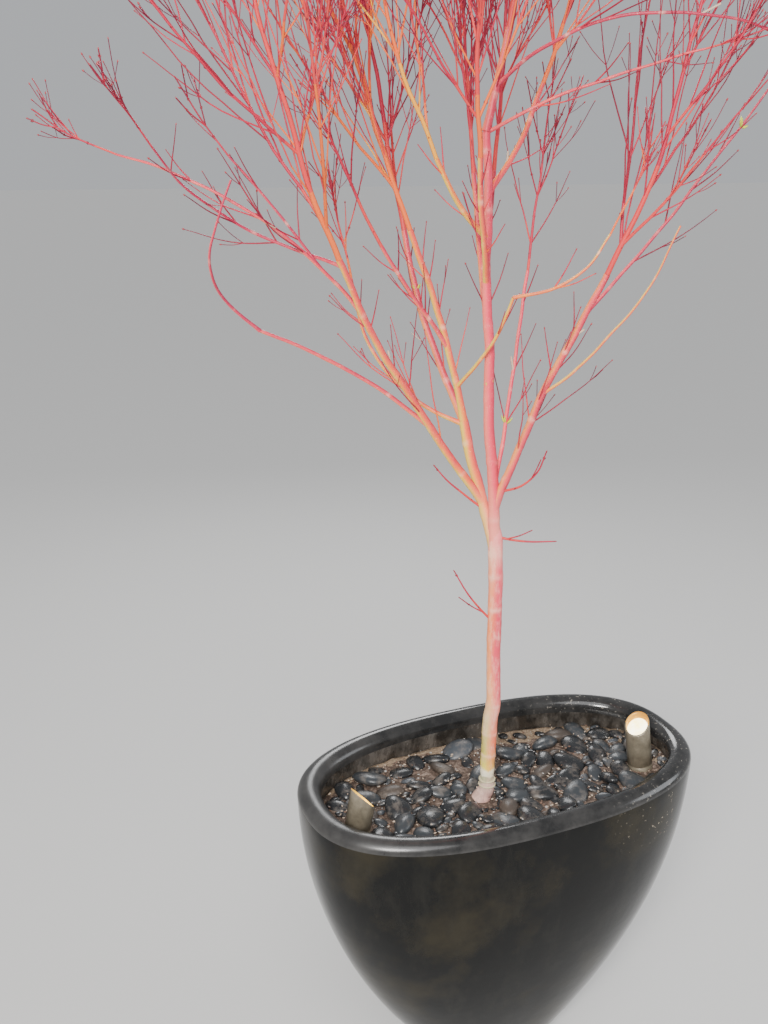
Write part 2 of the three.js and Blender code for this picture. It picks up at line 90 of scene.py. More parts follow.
# Limbs turn evenly from a first heading and lean to a last one.
# Name: parent, distance along the parent, headings, leans, length, radii, warmth of the bark
LIMBS = {
    "left_stem": ("trunk", 447, (127, 127), (20, 14), 202, (8.6, 7.4), "orange"),
    "leader": ("trunk", 447, (165, 165), (5, 1), 600, (9, 5.6), "pink"),
    "leader_top": ("leader", 600, (350, 350), (12, 12), 130, (5.4, 4.4), "coral"),
    "bough_left": ("left_stem", 76, (160, 210), (36, 31), 440, (6.3, 4.4), "orange"),
    "bough_inner": ("left_stem", 202, (110, 114), (37, 14), 300, (5.6, 4.4), "coral"),
    "bough_orange": ("left_stem", 202, (166, 166), (11, 23), 290, (5.4, 4.2), "amber"),
    "bough_low": ("left_stem", 196, (145, 143), (75, 4), 290, (3.4, 2), "orange"),
    "bough_cross": ("bough_orange", 114, (181, 181), (37, 34), 180, (3.4, 2.6), "coral"),
    "bough_right": ("leader", 65, (318, 318), (18, 27), 380, (6.4, 4.4), "coral"),
    "slender_right": ("leader", 89, (31, 31), (16, 10), 330, (3.2, 2.4), "pink"),
    "hook_lower": ("bough_left", 146, (162, 166), (49, 69), 284, (3.4, 2.4), "coral"),
    "hook_upper": ("hook_lower", 284, (156, 346), (52, 18), 250, (2.4, 1.3), "rose"),
    "sweep_front": ("bough_orange", 53, (283, 285), (52, 25), 182, (2.8, 2.3), "amber"),
    "sweep_right": ("sweep_front", 182, (337, 337), (88, 26), 157, (2.2, 1.6), "amber"),
    "bough_gold": ("leader", 461, (191, 193), (55, 28), 140, (4, 3.2), "gold"),
    "bough_rose": ("leader", 454, (57, 52), (42, 18), 110, (4.2, 3.4), "coral"),
    "far_left": ("bough_left", 350, (185, 141), (37, 77), 390, (2.8, 1.4), "coral"),
    "left_twin": ("far_left", 88, (167, 167), (36, 42), 180, (2, 1.4), "rose"),
    "long_left": ("bough_left", 428, (116, 236), (78, 46), 320, (2.4, 1.4), "rose"),
    "side_right": ("bough_right", 190, (309, 312), (53, 20), 300, (2.2, 1.2), "orange"),
    "far_right": ("bough_right", 320, (322, 332), (40, 32), 350, (2.6, 1.4), "rose"),
    "arch_right": ("leader_top", 58, (300, 352), (50, 130), 470, (2.6, 1.2), "rose"),
    "reach_right": ("leader", 598, (320, 320), (62, 80), 290, (2.4, 1.4), "coral"),
    "bough_back": ("leader", 330, (75, 75), (38, 24), 250, (4.6, 3.6), "coral"),
    "bough_front": ("leader", 400, (235, 235), (42, 24), 200, (4.2, 3.4), "orange"),
    "bough_far": ("leader", 520, (20, 20), (48, 26), 180, (4.2, 3.4), "orange"),
}
LIMB_STEP = 60

# Masses of bare twigs, grown on from a limb's tip.
# Name: limb, stem's length, heading, lean, reach, pairs of shoots, seed, opening angle
MASSES = {
    "crown_top": ("leader_top", 510, 350, 3, 150, 6, 11, 30),
    "spray_gold": ("bough_gold", 540, 195, 8, 120, 6, 12, 30),
    "spray_rose": ("bough_rose", 540, 45, 8, 120, 6, 13, 30),
    "spray_inner": ("bough_inner", 630, 112, 12, 140, 6, 14, 30),
    "spray_orange": ("bough_orange", 620, 172, 12, 140, 6, 15, 30),
    "spray_left": ("bough_left", 680, 160, 9, 210, 7, 16, 34),
    "spray_right": ("bough_right", 600, 350, 3, 190, 7, 17, 32),
    "spray_back": ("bough_back", 600, 75, 20, 180, 6, 18, 30),
    "spray_front": ("bough_front", 570, 240, 19, 160, 6, 19, 30),
    "spray_far": ("bough_far", 520, 15, 15, 160, 6, 20, 30),
    "tips_far_left": ("far_left", 120, 150, 60, 60, 2, 31, 30),
    "tips_left_twin": ("left_twin", 110, 165, 30, 50, 2, 32, 30),
    "tips_long_left": ("long_left", 120, 200, 40, 60, 2, 33, 30),
    "tips_low": ("bough_low", 170, 150, 12, 70, 3, 35, 30),
    "tips_cross": ("bough_cross", 260, 185, 20, 80, 3, 36, 30),
    "tips_sweep": ("sweep_right", 150, 300, 10, 60, 2, 37, 30),
    "tips_slender": ("slender_right", 300, 30, 10, 80, 3, 38, 30),
    "tips_far_right": ("far_right", 120, 325, 20, 60, 2, 40, 30),
    "tips_reach": ("reach_right", 110, 320, 70, 60, 2, 42, 30),
}

# Sprigs: short twigs low on the trunk and at the forks.
# Name: limb, distance along it, heading, leans, length, seed, side shoots kept
SPRIGS = {
    "sprig_trunk_left": ("trunk", 321, 168, (44, 27), 115, 51, 1),
    "sprig_trunk_right": ("leader", 20, 324, (99, 82), 92, 52, 1),
    "sprig_fork_left": ("left_stem", 62, 163, (54, 40), 106, 53, 0),
    "sprig_fork_right": ("bough_right", 29, 311, (80, 8), 104, 54, 1),
}

# Side shoots on the limbs, in pairs, and the young leaves that have opened already
SIDE_SHOOTS = {
    "bough_left": 6, "bough_inner": 4, "bough_orange": 5, "bough_right": 7, "leader": 2, "leader_top": 2,
    "slender_right": 3, "far_left": 3, "left_twin": 2, "long_left": 3, "far_right": 5, "arch_right": 3,
    "reach_right": 3, "bough_low": 4, "bough_cross": 3, "sweep_front": 1, "sweep_right": 1, "bough_gold": 2,
    "bough_rose": 2, "bough_back": 4, "bough_front": 3, "bough_far": 3,
}
YOUNG_LEAVES = [("slender_right", 105), ("bough_inner", 210), ("far_right", 300), ("leader", 250)]

# The rule by which every mass grows: the share by which shoots turn upward, the place of the last pair
# along its parent, the lengths of steps, a stem's radius as a share of its limb's, a shoot's as a share
# of its parent's, and the radius at a tip
UPWARD = 0.3
LAST_PAIR = 0.93
STEM_STEP = 100
TWIG_STEP = 130
FOOT_SHARE = 0.94
CHILD_SHARE = 0.62
TIP_RADIUS = 1

# Random spread of a shoot: its place between two pairs, its turn, and shares of its opening and length
SPREAD = dict(place=(0.1, 0.7), turn=(-0.35, 0.35), opening=(0.75, 1.2), length=(0.7, 1.1))
DRIFT = (-0.12, 0.12)

# Space of a mass: its width at the foot as a share of its reach, what the width gains and by what power,
# then how far it runs back from the foot and on to the tip, as shares of the stem's length
SPACE = dict(foot=0.25, gain=1.1, power=0.8, back=-0.12, on=1.06)

# Shares of its wanted length that a shoot is tried at, and its chance at each level to be left out
SHARES = (1, 0.75, 0.55)
SKIPPED = (0, 0.12, 0.6, 0.2, 0.35)

# Air kept round a shoot and the share of the tip's radius that it thins to. Finer growth, from level 3
# on, has a largest radius at the root too, less by a fall for each level. The main twigs of one family
# keep an air of their own between them.
MAIN_GROWTH = dict(air=1.2, tip=0.85)
FINE_GROWTH = dict(air=0.2, tip=0.55, foot=2.3, fall=0.36)
FAMILY_AIR = 0.8

# Habits: the place of the first pair along its parent, the length of a shoot as a share of what is
# left of the parent, the opening angle, the level and the least length
LARGE_MASS = dict(first_pair=0.04, longness=0.85, level=1, least=70)
SMALL_MASS = LARGE_MASS | dict(first_pair=0.2, least=50)
SECOND_ROUND = dict(first_pair=0.2, longness=0.62, level=2, least=52.5)
SPRIG = dict(first_pair=0.12, longness=0.72, opening=30, level=1, least=40)
LONG_SHOOTS = dict(first_pair=0.06, opening=24, level=3, least=70)
SHORT_SHOOTS = dict(first_pair=0.3, longness=0.36, opening=34, level=4, least=26)
BOUGH_SHOOTS = dict(first_pair=0.2, longness=0.6, opening=32, level=3, least=60)
LEADER_SHOOTS = BOUGH_SHOOTS | dict(first_pair=0.55, longness=0.35)
SIDE_TWIGS = dict(first_pair=0.25, longness=0.5, opening=32, level=4, least=24)

SPRIG_STEM = dict(step=40, radius=2.2, tint=1.5)

# A mass with more pairs than this grows a second round, narrower than the first
SMALL_PAIRS = 3
SECOND_OPENING = 0.9

# Length of twig to each pair of finer shoots: long ones in full and in thin families, short ones, side twigs
SPACING = dict(full=56, thin=100, short=120, side=150)
FULL_FAMILY = 9

# Points drawn for each step of a limb's path, and of a twig's by level
LIMB_FINENESS = 10
TWIG_FINENESS = (6, 5, 5, 5, 2)

# Straight up, and a slant from which the sides of every twig are found
UP = np.array((0.0, 0.0, 1.0))
FRAME_HINT = np.array((0.3, 0.9, 0.2))


# Directions, dice and paths
def aim(heading, lean):
    turn, tilt = math.radians(heading), math.radians(lean)
    return np.array((math.sin(tilt) * math.cos(turn), math.sin(tilt) * math.sin(turn), math.cos(tilt)))


def unit(v):
    return v / math.sqrt(v @ v)


def blend(a, b, w):
    return unit(a * (1 - w) + b * w)


def mix(a, b, t):
    return a + (b - a) * t


def clamp(v, low=0.0, high=1.0):
    return min(max(v, low), high)


def whole(v):
    return math.floor(v + 0.5)


def dice(seed):
    """Repeatable dice: the same seed always grows the same twigs."""
    full, stride = 0xFFFFFFFF, 0x6D2B79F5
    state = seed

    def roll(low=0.0, high=1.0):
        nonlocal state
        state = (state + stride) & full
        t = ((state ^ (state >> 15)) * (state | 1)) & full
        t ^= (t + (((t ^ (t >> 7)) * (t | 61)) & full)) & full
        return low + (high - low) * (t ^ (t >> 14)) / 2**32

    return roll


def walk(start, length, steps, way_at):
    """A path of even steps, each in the direction that is right for its middle."""
    path = [start]
    for i in range(steps):
        path.append(path[i] + way_at((i + 0.5) / steps) * length / steps)
    return np.array(path)


def leaning_path(start, headings, leans, length, step):
    steps = max(3, whole(length / step))
    return walk(start, length, steps, lambda t: aim(mix(*headings, t), mix(*leans, t)))


def twig_path(start, first, last, length, step, least):
    """A twig turns early from its first direction to its last."""
    steps = max(least, whole(length / step))
    return walk(start, length, steps, lambda t: blend(last, first, (1 - t) ** 2))


def steps_of(path):
    return np.linalg.norm(np.diff(path, axis=0), axis=1)


def ways_along(path):
    """The distance of each point from the path's start."""
    return np.concatenate([[0], np.cumsum(steps_of(path))])


def place_on(path, distance):
    """Number of the step that a distance along a path falls in, and the share of that step."""
    left = distance
    lengths = steps_of(path)
    i = 0
    while i + 1 < len(lengths) and left > lengths[i]:
        left -= lengths[i]
        i += 1
    return i, left / lengths[i]


def along(path, distance):
    i, share = place_on(path, distance)
    return mix(path[i], path[i + 1], share), unit(path[i + 1] - path[i])


def side_direction(direction, turn, opening):
    """A shoot leaves its parent's axis at an opening angle, turned about that axis."""
    a = unit(np.cross(direction, FRAME_HINT))
    out = a * math.cos(turn) + np.cross(direction, a) * math.sin(turn)
    return unit(direction * math.cos(opening) + out * math.sin(opening))


# Limbs and twigs
class Strand:
    """A limb or twig: the plain path of its solid, and the finer course that is drawn."""

    def __init__(self, path, radii, parent=None, at=0.0, level=0, fine=TWIG_FINENESS[0], sway=1.2, tint=2.0):
        self.path, self.radii, self.level, self.fine = path, np.array(radii, float), level, fine
        self.length = float(steps_of(path).sum())
        self.tip_direction = unit(path[-1] - path[-2])
        self.tint = tint
        shift = parent.spot(at) - along(parent.path, at)[0] if parent else 0
        self.course = self.swayed(self.smoothed(path + shift), sway)
        steps = np.linspace(0, len(path) - 1, len(self.course))
        self.thickness = np.interp(steps, range(len(path)), self.radii)

    def smoothed(self, path):
        """A curve through the path's points that eases round each of them."""
        ends = np.vstack([2 * path[0] - path[1], path, 2 * path[-1] - path[-2]])
        t = np.arange(self.fine)[:, None] / self.fine
        runs = []
        for a, b, c, d in zip(ends, ends[1:], ends[2:], ends[3:]):
            bend = (2 * a - 5 * b + 4 * c - d) * t**2 + (3 * b - a - 3 * c + d) * t**3
            runs.append((2 * b + (c - a) * t + bend) / 2)
        return np.vstack([*runs, path[-1:]])

    def swayed(self, course, sway):
        """Slow sideways sways that start from nothing at the root."""
        way = ways_along(course)
        roll = dice(int(abs(course[0].sum() * 7 + self.length * 13)))
        ahead = unit(course[-1] - course[0])
        for side in (unit(np.cross(ahead, FRAME_HINT)), unit(np.cross(ahead, FRAME_HINT[::-1]))):
            wave = roll(150, 280)
            slow, quick = roll(0, 6), roll(0, 6)
            swing = np.sin(way * 2 * math.pi / wave + slow) + 0.3 * np.sin(way * 5 * math.pi / wave + quick)
            fade = np.clip(way / 60, 0, 1) * sway * clamp(self.length / 150, 0.3, 1)
            course = course + side[None] * (swing * fade)[:, None]
        return course

    def spot(self, distance):
        i, share = place_on(self.path, distance)
        step = (i + share) * self.fine
        k = min(int(step), len(self.course) - 2)
        return mix(self.course[k], self.course[k + 1], step - k)

    def segments(self):
        wide = np.maximum(self.radii[:-1], self.radii[1:])
        return self.path[:-1], self.path[1:], wide


def segment_gaps(p, q, a, b):
    """Least distances from the segment pq to each of the segments ab."""
    d1, d2, r = q - p, b - a, p - a
    aa, ee = d1 @ d1, (d2 * d2).sum(1)
    bb, c, f = d2 @ d1, r @ d1, (d2 * r).sum(1)
    det = aa * ee - bb * bb
    slanted = det > 1e-9
    crossing = np.clip((bb * f - c * ee) / np.where(slanted, det, 1), 0, 1)
    s = np.where(slanted, crossing, 0)
    t = (bb * s + f) / ee
    s = np.where(t < 0, np.clip(-c / aa, 0, 1), s)
    s = np.where(t > 1, np.clip((bb - c) / aa, 0, 1), s)
    t = np.clip(t, 0, 1)
    return np.linalg.norm(r + s[:, None] * d1 - t[:, None] * d2, axis=1)


def stacked(strands):
    parts = [s.segments() for s in strands]
    return [np.concatenate(rows) for rows in zip(*parts)]


class Settled:
    """What has grown so far, so that nothing new touches it."""

    def __init__(self):
        self.owners = np.zeros(0, int)
        self.names = []
        self.a = self.b = np.zeros((0, 3))
        self.r = np.zeros(0)

    def add(self, owner, strands):
        a, b, r = stacked(strands)
        self.names.append(owner)
        self.owners = np.concatenate([self.owners, np.full(len(r), len(self.names) - 1)])
        self.a, self.b, self.r = np.vstack([self.a, a]), np.vstack([self.b, b]), np.concatenate([self.r, r])

    def is_free(self, path, radii, own, clearance):
        others = np.array([name != own for name in self.names])[self.owners]
        for p, q, r0, r1 in zip(path, path[1:], radii, radii[1:]):
            r = max(r0, r1) + clearance
            reach = np.linalg.norm(q - p) + r + self.r + np.linalg.norm(self.b - self.a, axis=1)
            near = others & (np.linalg.norm(self.a - p, axis=1) < reach)
            if near.any() and (segment_gaps(p, q, self.a[near], self.b[near]) < r + self.r[near]).any():
                return False
        return True


def clear_of_family(family, parent, path, radii):
    others = [strand for strand in family if strand is not parent]
    if not others:
        return True
    a, b, wide = stacked(others)
    for i, (p, q) in enumerate(zip(path, path[1:])):
        start = mix(p, q, 0.25) if i == 0 else p
        if (segment_gaps(start, q, a, b) < wide + radii[i] + FAMILY_AIR).any():
            return False
    return True


settled = Settled()


def grow_pairs(family, parent, roll, name, inside, count, first_pair, longness, opening, level, least):
    """Pairs of opposite shoots, each pair turned a quarter from the last.

    A shoot that would leave the space or touch anything is tried shorter, then skipped.
    """
    phase = roll(0, math.pi)
    finer = level > 2
    kind = FINE_GROWTH if finer else MAIN_GROWTH
    least_steps = 2 if finer else 3 - level
    for i in range(count):
        at = parent.length * (first_pair + (LAST_PAIR - first_pair) * (i + roll(*SPREAD["place"])) / count)
        point, direction = along(parent.path, at)
        thick = mix(parent.radii[0], parent.radii[-1], at / parent.length) * CHILD_SHARE
        foot = min(thick, kind["foot"] - kind["fall"] * level) if finer else max(TIP_RADIUS, thick)
        turn = phase + i * math.pi / 2 + roll(*SPREAD["turn"])
        for half in (0, math.pi):
            first = side_direction(direction, turn + half, math.radians(opening * roll(*SPREAD["opening"])))
            wanted = max(least, (parent.length - at) * longness * roll(*SPREAD["length"]))
            drift = np.array((roll(*DRIFT), roll(*DRIFT), 0))
            last = unit(blend(first, UP, UPWARD) + drift)
            grows = roll() >= SKIPPED[level]
            for share in SHARES if grows else ():
                path = twig_path(point, first, last, wanted * share, TWIG_STEP, least_steps)
                radii = np.linspace(foot, TIP_RADIUS * kind["tip"], len(path))
                free = settled.is_free(path, radii, name, kind["air"])
                apart = finer or clear_of_family(family, parent, path, radii)
                if free and apart and all(inside(p) for p in path[1:]):
                    tint = parent.tint + 1.6 * at / parent.length + 0.3 + 0.8 * math.sin(5 * turn + half)
                    family.append(Strand(path, radii, parent, at, level, TWIG_FINENESS[level], tint=tint))
                    break


def space_of(start, stem_tip, length, reach):
    """The widening space that a mass keeps to."""
    axis = unit(stem_tip - start)

    def inside(p):
        off = p - start
        t = (off @ axis) / length
        wide = reach * (SPACE["foot"] + SPACE["gain"] * clamp(t) ** SPACE["power"])
        return SPACE["back"] < t < SPACE["on"] and np.linalg.norm(off - axis * t * length) < wide

    return inside


# Tint of the young wood at a limb's tip, by the warmth of the limb's bark
WARMTH = {"gold": 0.0, "amber": 0.6, "orange": 1.2, "coral": 2.0, "pink": 2.4, "rose": 3.0}


def grow_mass(name, limbs):
    on, length, heading, lean, reach, pairs, seed, opening = MASSES[name]
    limb = limbs[on]
    roll = dice(seed)
    start = limb.path[-1] + limb.tip_direction * GAP
    path = twig_path(start, limb.tip_direction, aim(heading, lean), length, STEM_STEP, 2)
    radii = np.linspace(limb.radii[-1] * FOOT_SHARE, TIP_RADIUS, len(path))
    stem = Strand(path, radii, limb, limb.length, tint=WARMTH[LIMBS[on][-1]])
    inside = space_of(start, path[-1], length, reach)
    large = pairs > SMALL_PAIRS
    habit = LARGE_MASS if large else SMALL_MASS
    family = [stem]
    grow_pairs(family, stem, roll, name, inside, pairs, opening=opening, **habit)
    for shoot in family[1:] if large else []:
        size = shoot.length / habit["least"]
        count = (size > 1.3) + (size > 1.8)
        grow_pairs(family, shoot, roll, name, inside, count, opening=opening * SECOND_OPENING, **SECOND_ROUND)
    return family, inside


def grow_sprig(name, limbs):
    parent, at, heading, leans, length, seed, kept = SPRIGS[name]
    start = along(limbs[parent].path, at)[0]
    path = leaning_path(start, (heading, heading), leans, length, SPRIG_STEM["step"])
    radii = np.linspace(SPRIG_STEM["radius"], TIP_RADIUS, len(path))
    stem = Strand(path, radii, limbs[parent], at, tint=SPRIG_STEM["tint"])

    def inside(p):
        return np.linalg.norm(p - start) < length * 1.2

    family = [stem]
    grow_pairs(family, stem, dice(seed), name, inside, 1, **SPRIG)
    return family[: 1 + kept], inside


def grow_finer(name, family, inside, seed):
    """The same rule carried on: long thin shoots on the main twigs, then short ones on all of them."""
    roll = dice(seed)
    spacing = SPACING["full" if len(family) > FULL_FAMILY else "thin"]
    for strand in list(family):
        count = whole(strand.length / spacing * roll(0.7, 1.2))
        longness = 0.6 if strand.level == 0 else 0.8
        grow_pairs(family, strand, roll, name, inside, count, longness=longness, **LONG_SHOOTS)
    for strand in list(family):
        count = whole(strand.length / SPACING["short"] * roll(0.4, 1.2))
        grow_pairs(family, strand, roll, name, inside, count, **SHORT_SHOOTS)


def grow_side_shoots(limbs):
    """Upright shoots along the boughs, a margin within the box of the solids."""
    margin = 4
    low, high = (np.array(corner) / MM for corner in cad_box)
    roll = dice(606)

    def inside(p):
        return bool((p > low + margin).all() and (p < high - margin).all())

    shoots = []
    for name, count in SIDE_SHOOTS.items():
        family = [limbs[name]]
        habit = LEADER_SHOOTS if name == "leader" else BOUGH_SHOOTS
        grow_pairs(family, limbs[name], roll, name, inside, count, **habit)
        own = family[1:]
        for shoot in list(own):
            pairs = whole(shoot.length / SPACING["side"] * roll(0.4, 1.2))
            side = [shoot]
            grow_pairs(side, shoot, roll, name, inside, pairs, **SIDE_TWIGS)
            own += side[1:]
        shoots += own
    return shoots


def grow_trunk():
    path = [np.array((*TRUNK_FOOT, SOIL_TOP - TRUNK_SUNK), float)]
    marks = [0.0]
    for length, heading, lean, steps in TRUNK_STRETCHES:
        for _ in range(steps):
            path.append(path[-1] + aim(heading, lean) * length / steps)
            marks.append(marks[-1] + length / steps)
    radii = np.interp(marks, *zip(*TRUNK_RADII))
    return Strand(np.array(path), radii, fine=LIMB_FINENESS, sway=0.5)


def grow_tree():
    limbs = {"trunk": grow_trunk()}
    settled.add("trunk", [limbs["trunk"]])
    for name, (parent, at, headings, leans, length, (foot, tip), warmth) in LIMBS.items():
        start = along(limbs[parent].path, at)[0]
        path = leaning_path(start, headings, leans, length, LIMB_STEP)
        radii = np.linspace(foot, tip, len(path))
        tint = WARMTH[warmth]
        limbs[name] = Strand(path, radii, limbs[parent], at, fine=LIMB_FINENESS, sway=0.9, tint=tint)
        settled.add(name, [limbs[name]])
    families = {}
    for name in [*MASSES, *SPRIGS]:
        grow = grow_mass if name in MASSES else grow_sprig
        families[name] = grow(name, limbs)
        settled.add(name, families[name][0])
    return limbs, families


# Mesh making
def stand(name, data):
    """A new object that stands in the scene."""
    placed = bpy.data.objects.new(name, data)
    bpy.context.scene.collection.objects.link(placed)
    return placed


def column(name, sides, rings, place):
    """A closed column of rings: each point is put in its place by its ring's number and its angle."""
    bm = bmesh.new()
    bmesh.ops.create_circle(bm, cap_ends=True, segments=sides, radius=1)
    bmesh.ops.reverse_faces(bm, faces=bm.faces)
    edges = bm.edges[:]
    for _ in range(rings - 1):
        made = bmesh.ops.extrude_edge_only(bm, edges=edges)["geom"]
        fresh = [g for g in made if isinstance(g, bmesh.types.BMVert)]
        bmesh.ops.translate(bm, verts=fresh, vec=(0, 0, 1))
        edges = [g for g in made if isinstance(g, bmesh.types.BMEdge) and all(v in fresh for v in g.verts)]
    bmesh.ops.edgeloop_fill(bm, edges=edges)
    for v in bm.verts:
        v.co = Vector(place(round(v.co.z), math.atan2(v.co.y, v.co.x))) * MM
    bmesh.ops.recalc_face_normals(bm, faces=bm.faces)
    return mesh_object(name, bm)


def mesh_object(name, bm):
    mesh = bpy.data.meshes.new(name)
    bm.to_mesh(mesh)
    bm.free()
    mesh.shade_smooth()
    return stand(name, mesh)


def tubes(name, strands, roundness, finishes):
    """Joined tapering tubes, each from its points, radii and material number."""
    curve = bpy.data.curves.new(name, "CURVE")
    for material in finishes:
        curve.materials.append(material)
    curve.dimensions = "3D"
    curve.bevel_depth = MM
    curve.bevel_resolution = roundness
    curve.use_fill_caps = True
    for points, radii, number in strands:
        spline = curve.splines.new("POLY")
        spline.points.add(len(points) - 1)
        places = np.hstack([np.array(points) * MM, np.ones((len(points), 1))])
        spline.points.foreach_set("co", places.ravel())
        spline.points.foreach_set("radius", np.array(radii, float))
        spline.material_index = number
    drawn = bpy.data.objects.new(name, curve)
    mesh = bpy.data.meshes.new_from_object(drawn)
    bpy.data.objects.remove(drawn)
    bpy.data.curves.remove(curve)
    mesh.name = name
    return stand(name, mesh)


def finish(piece, slot, nodes, *materials):
    for material in materials:
        piece.data.materials.append(material)
    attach(piece, "root")
    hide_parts(*nodes)


# Shader maths
class Value:
    """A number, colour or vector inside a material, written in plain sums."""

    def __init__(self, owner, socket):
        self.owner, self.socket = owner, socket

    def maths(self, operation, other):
        return self.owner.node("ShaderNodeMath", {"operation": operation}, {0: self, 1: other})

    def __add__(self, other):
        return self.maths("ADD", other)

    def __sub__(self, other):
        return self.maths("SUBTRACT", other)

    def __mul__(self, other):
        return self.maths("MULTIPLY", other)


SOCKETS = {
    "base": "Base Color", "rough": "Roughness", "metal": "Metallic", "normal": "Normal",
    "specular": "Specular IOR Level", "glow": "Emission Color", "glow_strength": "Emission Strength",
}


class Finish:
    """A material under construction, read from object coordinates."""

    def __init__(self, name):
        self.material = bpy.data.materials.new(name)
        self.material.use_nodes = True
        self.tree = self.material.node_tree
        self.shader = self.tree.nodes["Principled BSDF"]

    def node(self, kind, settings, values, out=0):
        made = self.tree.nodes.new(kind)
        for setting, value in settings.items():
            if setting == "stops":
                self.set_stops(made.color_ramp, value)
            else:
                setattr(made, setting, value)
        self.feed(made, values)
        return Value(self, made.outputs[out])

    def set_stops(self, ramp, stops):
        while len(ramp.elements) < len(stops):
            ramp.elements.new(1.0)
        for element, (at, colour) in zip(ramp.elements, stops):
            element.position = at
            element.color = (*colour, 1)

    def feed(self, made, values):
        for key, value in values.items():
            socket = made.inputs[key]
            if isinstance(value, Value):
                self.tree.links.new(value.socket, socket)
            elif isinstance(value, tuple) and len(value) == 3 and socket.type == "RGBA":
                socket.default_value = (*value, 1)
            else:
                socket.default_value = value

    def spots(self, stretch=(1, 1, 1)):
        place = self.node("ShaderNodeTexCoord", {}, {}, out="Object")
        return self.node("ShaderNodeMapping", {}, {"Vector": place, "Scale": stretch})

    def cloud(self, scale, detail=4.0, rough=0.55, stretch=(1, 1, 1)):
        values = {"Vector": self.spots(stretch), "Scale": scale, "Detail": detail, "Roughness": rough}
        return self.node("ShaderNodeTexNoise", {}, values)

    def ramp(self, value, stops):
        return self.node("ShaderNodeValToRGB", {"stops": stops}, {"Fac": value})

    def step(self, value, low, high):
        return self.node("ShaderNodeMapRange", {}, {"Value": value, "From Min": low, "From Max": high})

    def tint(self, a, b, share):
        return self.node("ShaderNodeMix", {"data_type": "RGBA"}, {0: share, 6: a, 7: b}, out=2)

    def axis(self, number):
        place = self.node("ShaderNodeTexCoord", {}, {}, out="Object")
        return self.node("ShaderNodeSeparateXYZ", {}, {0: place}, out=number)

    def painted(self, name):
        """A number that each point of the mesh carries."""
        return self.node("ShaderNodeAttribute", {"attribute_name": name}, {}, out="Fac")

    def bump(self, height, strength, distance):
        return self.node("ShaderNodeBump", {}, {"Height": height, "Strength": strength, "Distance": distance})

    def surface(self, **values):
        self.feed(self.shader, {SOCKETS[key]: value for key, value in values.items()})
        return self.material


# Finishes
FORK_TONE = (0.92, 0.34, 0.25)
RING_TONE = (0.95, 0.6, 0.46)


def glaze():
    f = Finish("black_glaze")
    patches = f.step(f.cloud(4.5, 7, 0.62), 0.47, 0.62)
    streak = f.step(f.cloud(30, 5, 0.7, (1, 1, 0.35)), 0.5, 0.78)
    dark = f.tint((0.0055, 0.0056, 0.0054), (0.021, 0.0175, 0.0105), patches)
    base = f.tint(dark, (0.03, 0.028, 0.022), streak * 0.35)
    near_end = f.step(f.axis(0), 0.1, 0.22) * f.step(f.axis(2), 0.4, 0.52)
    chips = f.step(f.cloud(150, 3), 0.64, 0.68) * f.step(f.cloud(9, 2), 0.5, 0.56) * near_end
    base = f.tint(base, (0.42, 0.36, 0.27), chips)
    rough = f.cloud(60, 5) * 0.12 + 0.05
    dents = f.bump(f.cloud(11, 3), 0.2, 0.004)
    return f.surface(base=base, rough=rough, normal=dents, specular=0.16)


def rim_glaze():
    f = Finish("rim_glaze")
    # The left end of the rim is painted paler and made rougher: dust, with a painted broad sheen in its paler
    # colour
    dust_and_sheen_end = f.step(f.axis(0), -0.16, -0.32)
    wear_and_sheen = f.step(f.cloud(17, 7, 0.7) + dust_and_sheen_end * 0.14, 0.4, 0.8)
    near_end = f.step(f.axis(0), 0.08, 0.2)
    chips = f.step(f.cloud(190, 3), 0.62, 0.68) * near_end
    dark = f.tint((0.011, 0.011, 0.011), (0.05, 0.048, 0.046), wear_and_sheen)
    base = f.tint(dark, (0.46, 0.42, 0.36), chips * wear_and_sheen)
    return f.surface(base=base, rough=f.cloud(40, 5) * 0.2 + 0.06 + dust_and_sheen_end * 0.2, specular=0.5)


def inner_glaze():
    """The glaze above the soil, dulled by splashes and dried water, and painted paler than the outer glaze as
    a painted sheen.
    """
    f = Finish("inner_glaze")
    splashes_and_sheen = f.step(f.cloud(26, 8, 0.7, (1, 1, 0.5)), 0.42, 0.68)
    # Painted sheen: a base paler than the outer glaze, and paler splash marks that are part splashes, part
    # painted sheen
    base = f.tint((0.022, 0.019, 0.016), (0.11, 0.098, 0.086), splashes_and_sheen)
    return f.surface(base=base, rough=splashes_and_sheen * 0.25 + 0.14, specular=0.6)


def earth():
    f = Finish("damp_earth")
    crumbs = f.cloud(150, 9, 0.75)
    tones = [(0.3, (0.02, 0.013, 0.01)), (0.5, (0.11, 0.075, 0.056)), (0.7, (0.42, 0.32, 0.26))]
    relief = f.bump(crumbs, 0.9, 0.004)
    return f.surface(base=f.ramp(crumbs, tones), rough=0.85, normal=relief, specular=0.3)


def sand():
    f = Finish("sandy_crust")
    grains = f.cloud(260, 8, 0.7)
    tones = [(0.3, (0.1, 0.07, 0.045)), (0.55, (0.3, 0.22, 0.15)), (0.75, (0.5, 0.4, 0.3))]
    relief = f.bump(grains, 0.7, 0.003)
    return f.surface(base=f.ramp(grains, tones), rough=0.9, normal=relief, specular=0.2)


def stone(name, colour, rough):
    f = Finish(name)
    dust = f.step(f.cloud(48, 8, 0.75), 0.5, 0.74)
    base = f.tint(colour, (0.24, 0.2, 0.165), dust * 0.55)
    fine = f.bump(f.cloud(220, 4), 0.25, 0.0012)
    return f.surface(base=base, rough=dust * 0.35 + rough, normal=fine, specular=0.45)


def bronze():
    f = Finish("satin_bronze")
    wear = f.cloud(70, 6, 0.65)
    base = f.ramp(wear, [(0.3, (0.16, 0.135, 0.095)), (0.7, (0.31, 0.27, 0.2))])
    return f.surface(base=base, rough=wear * 0.25 + 0.24, metal=0.45)


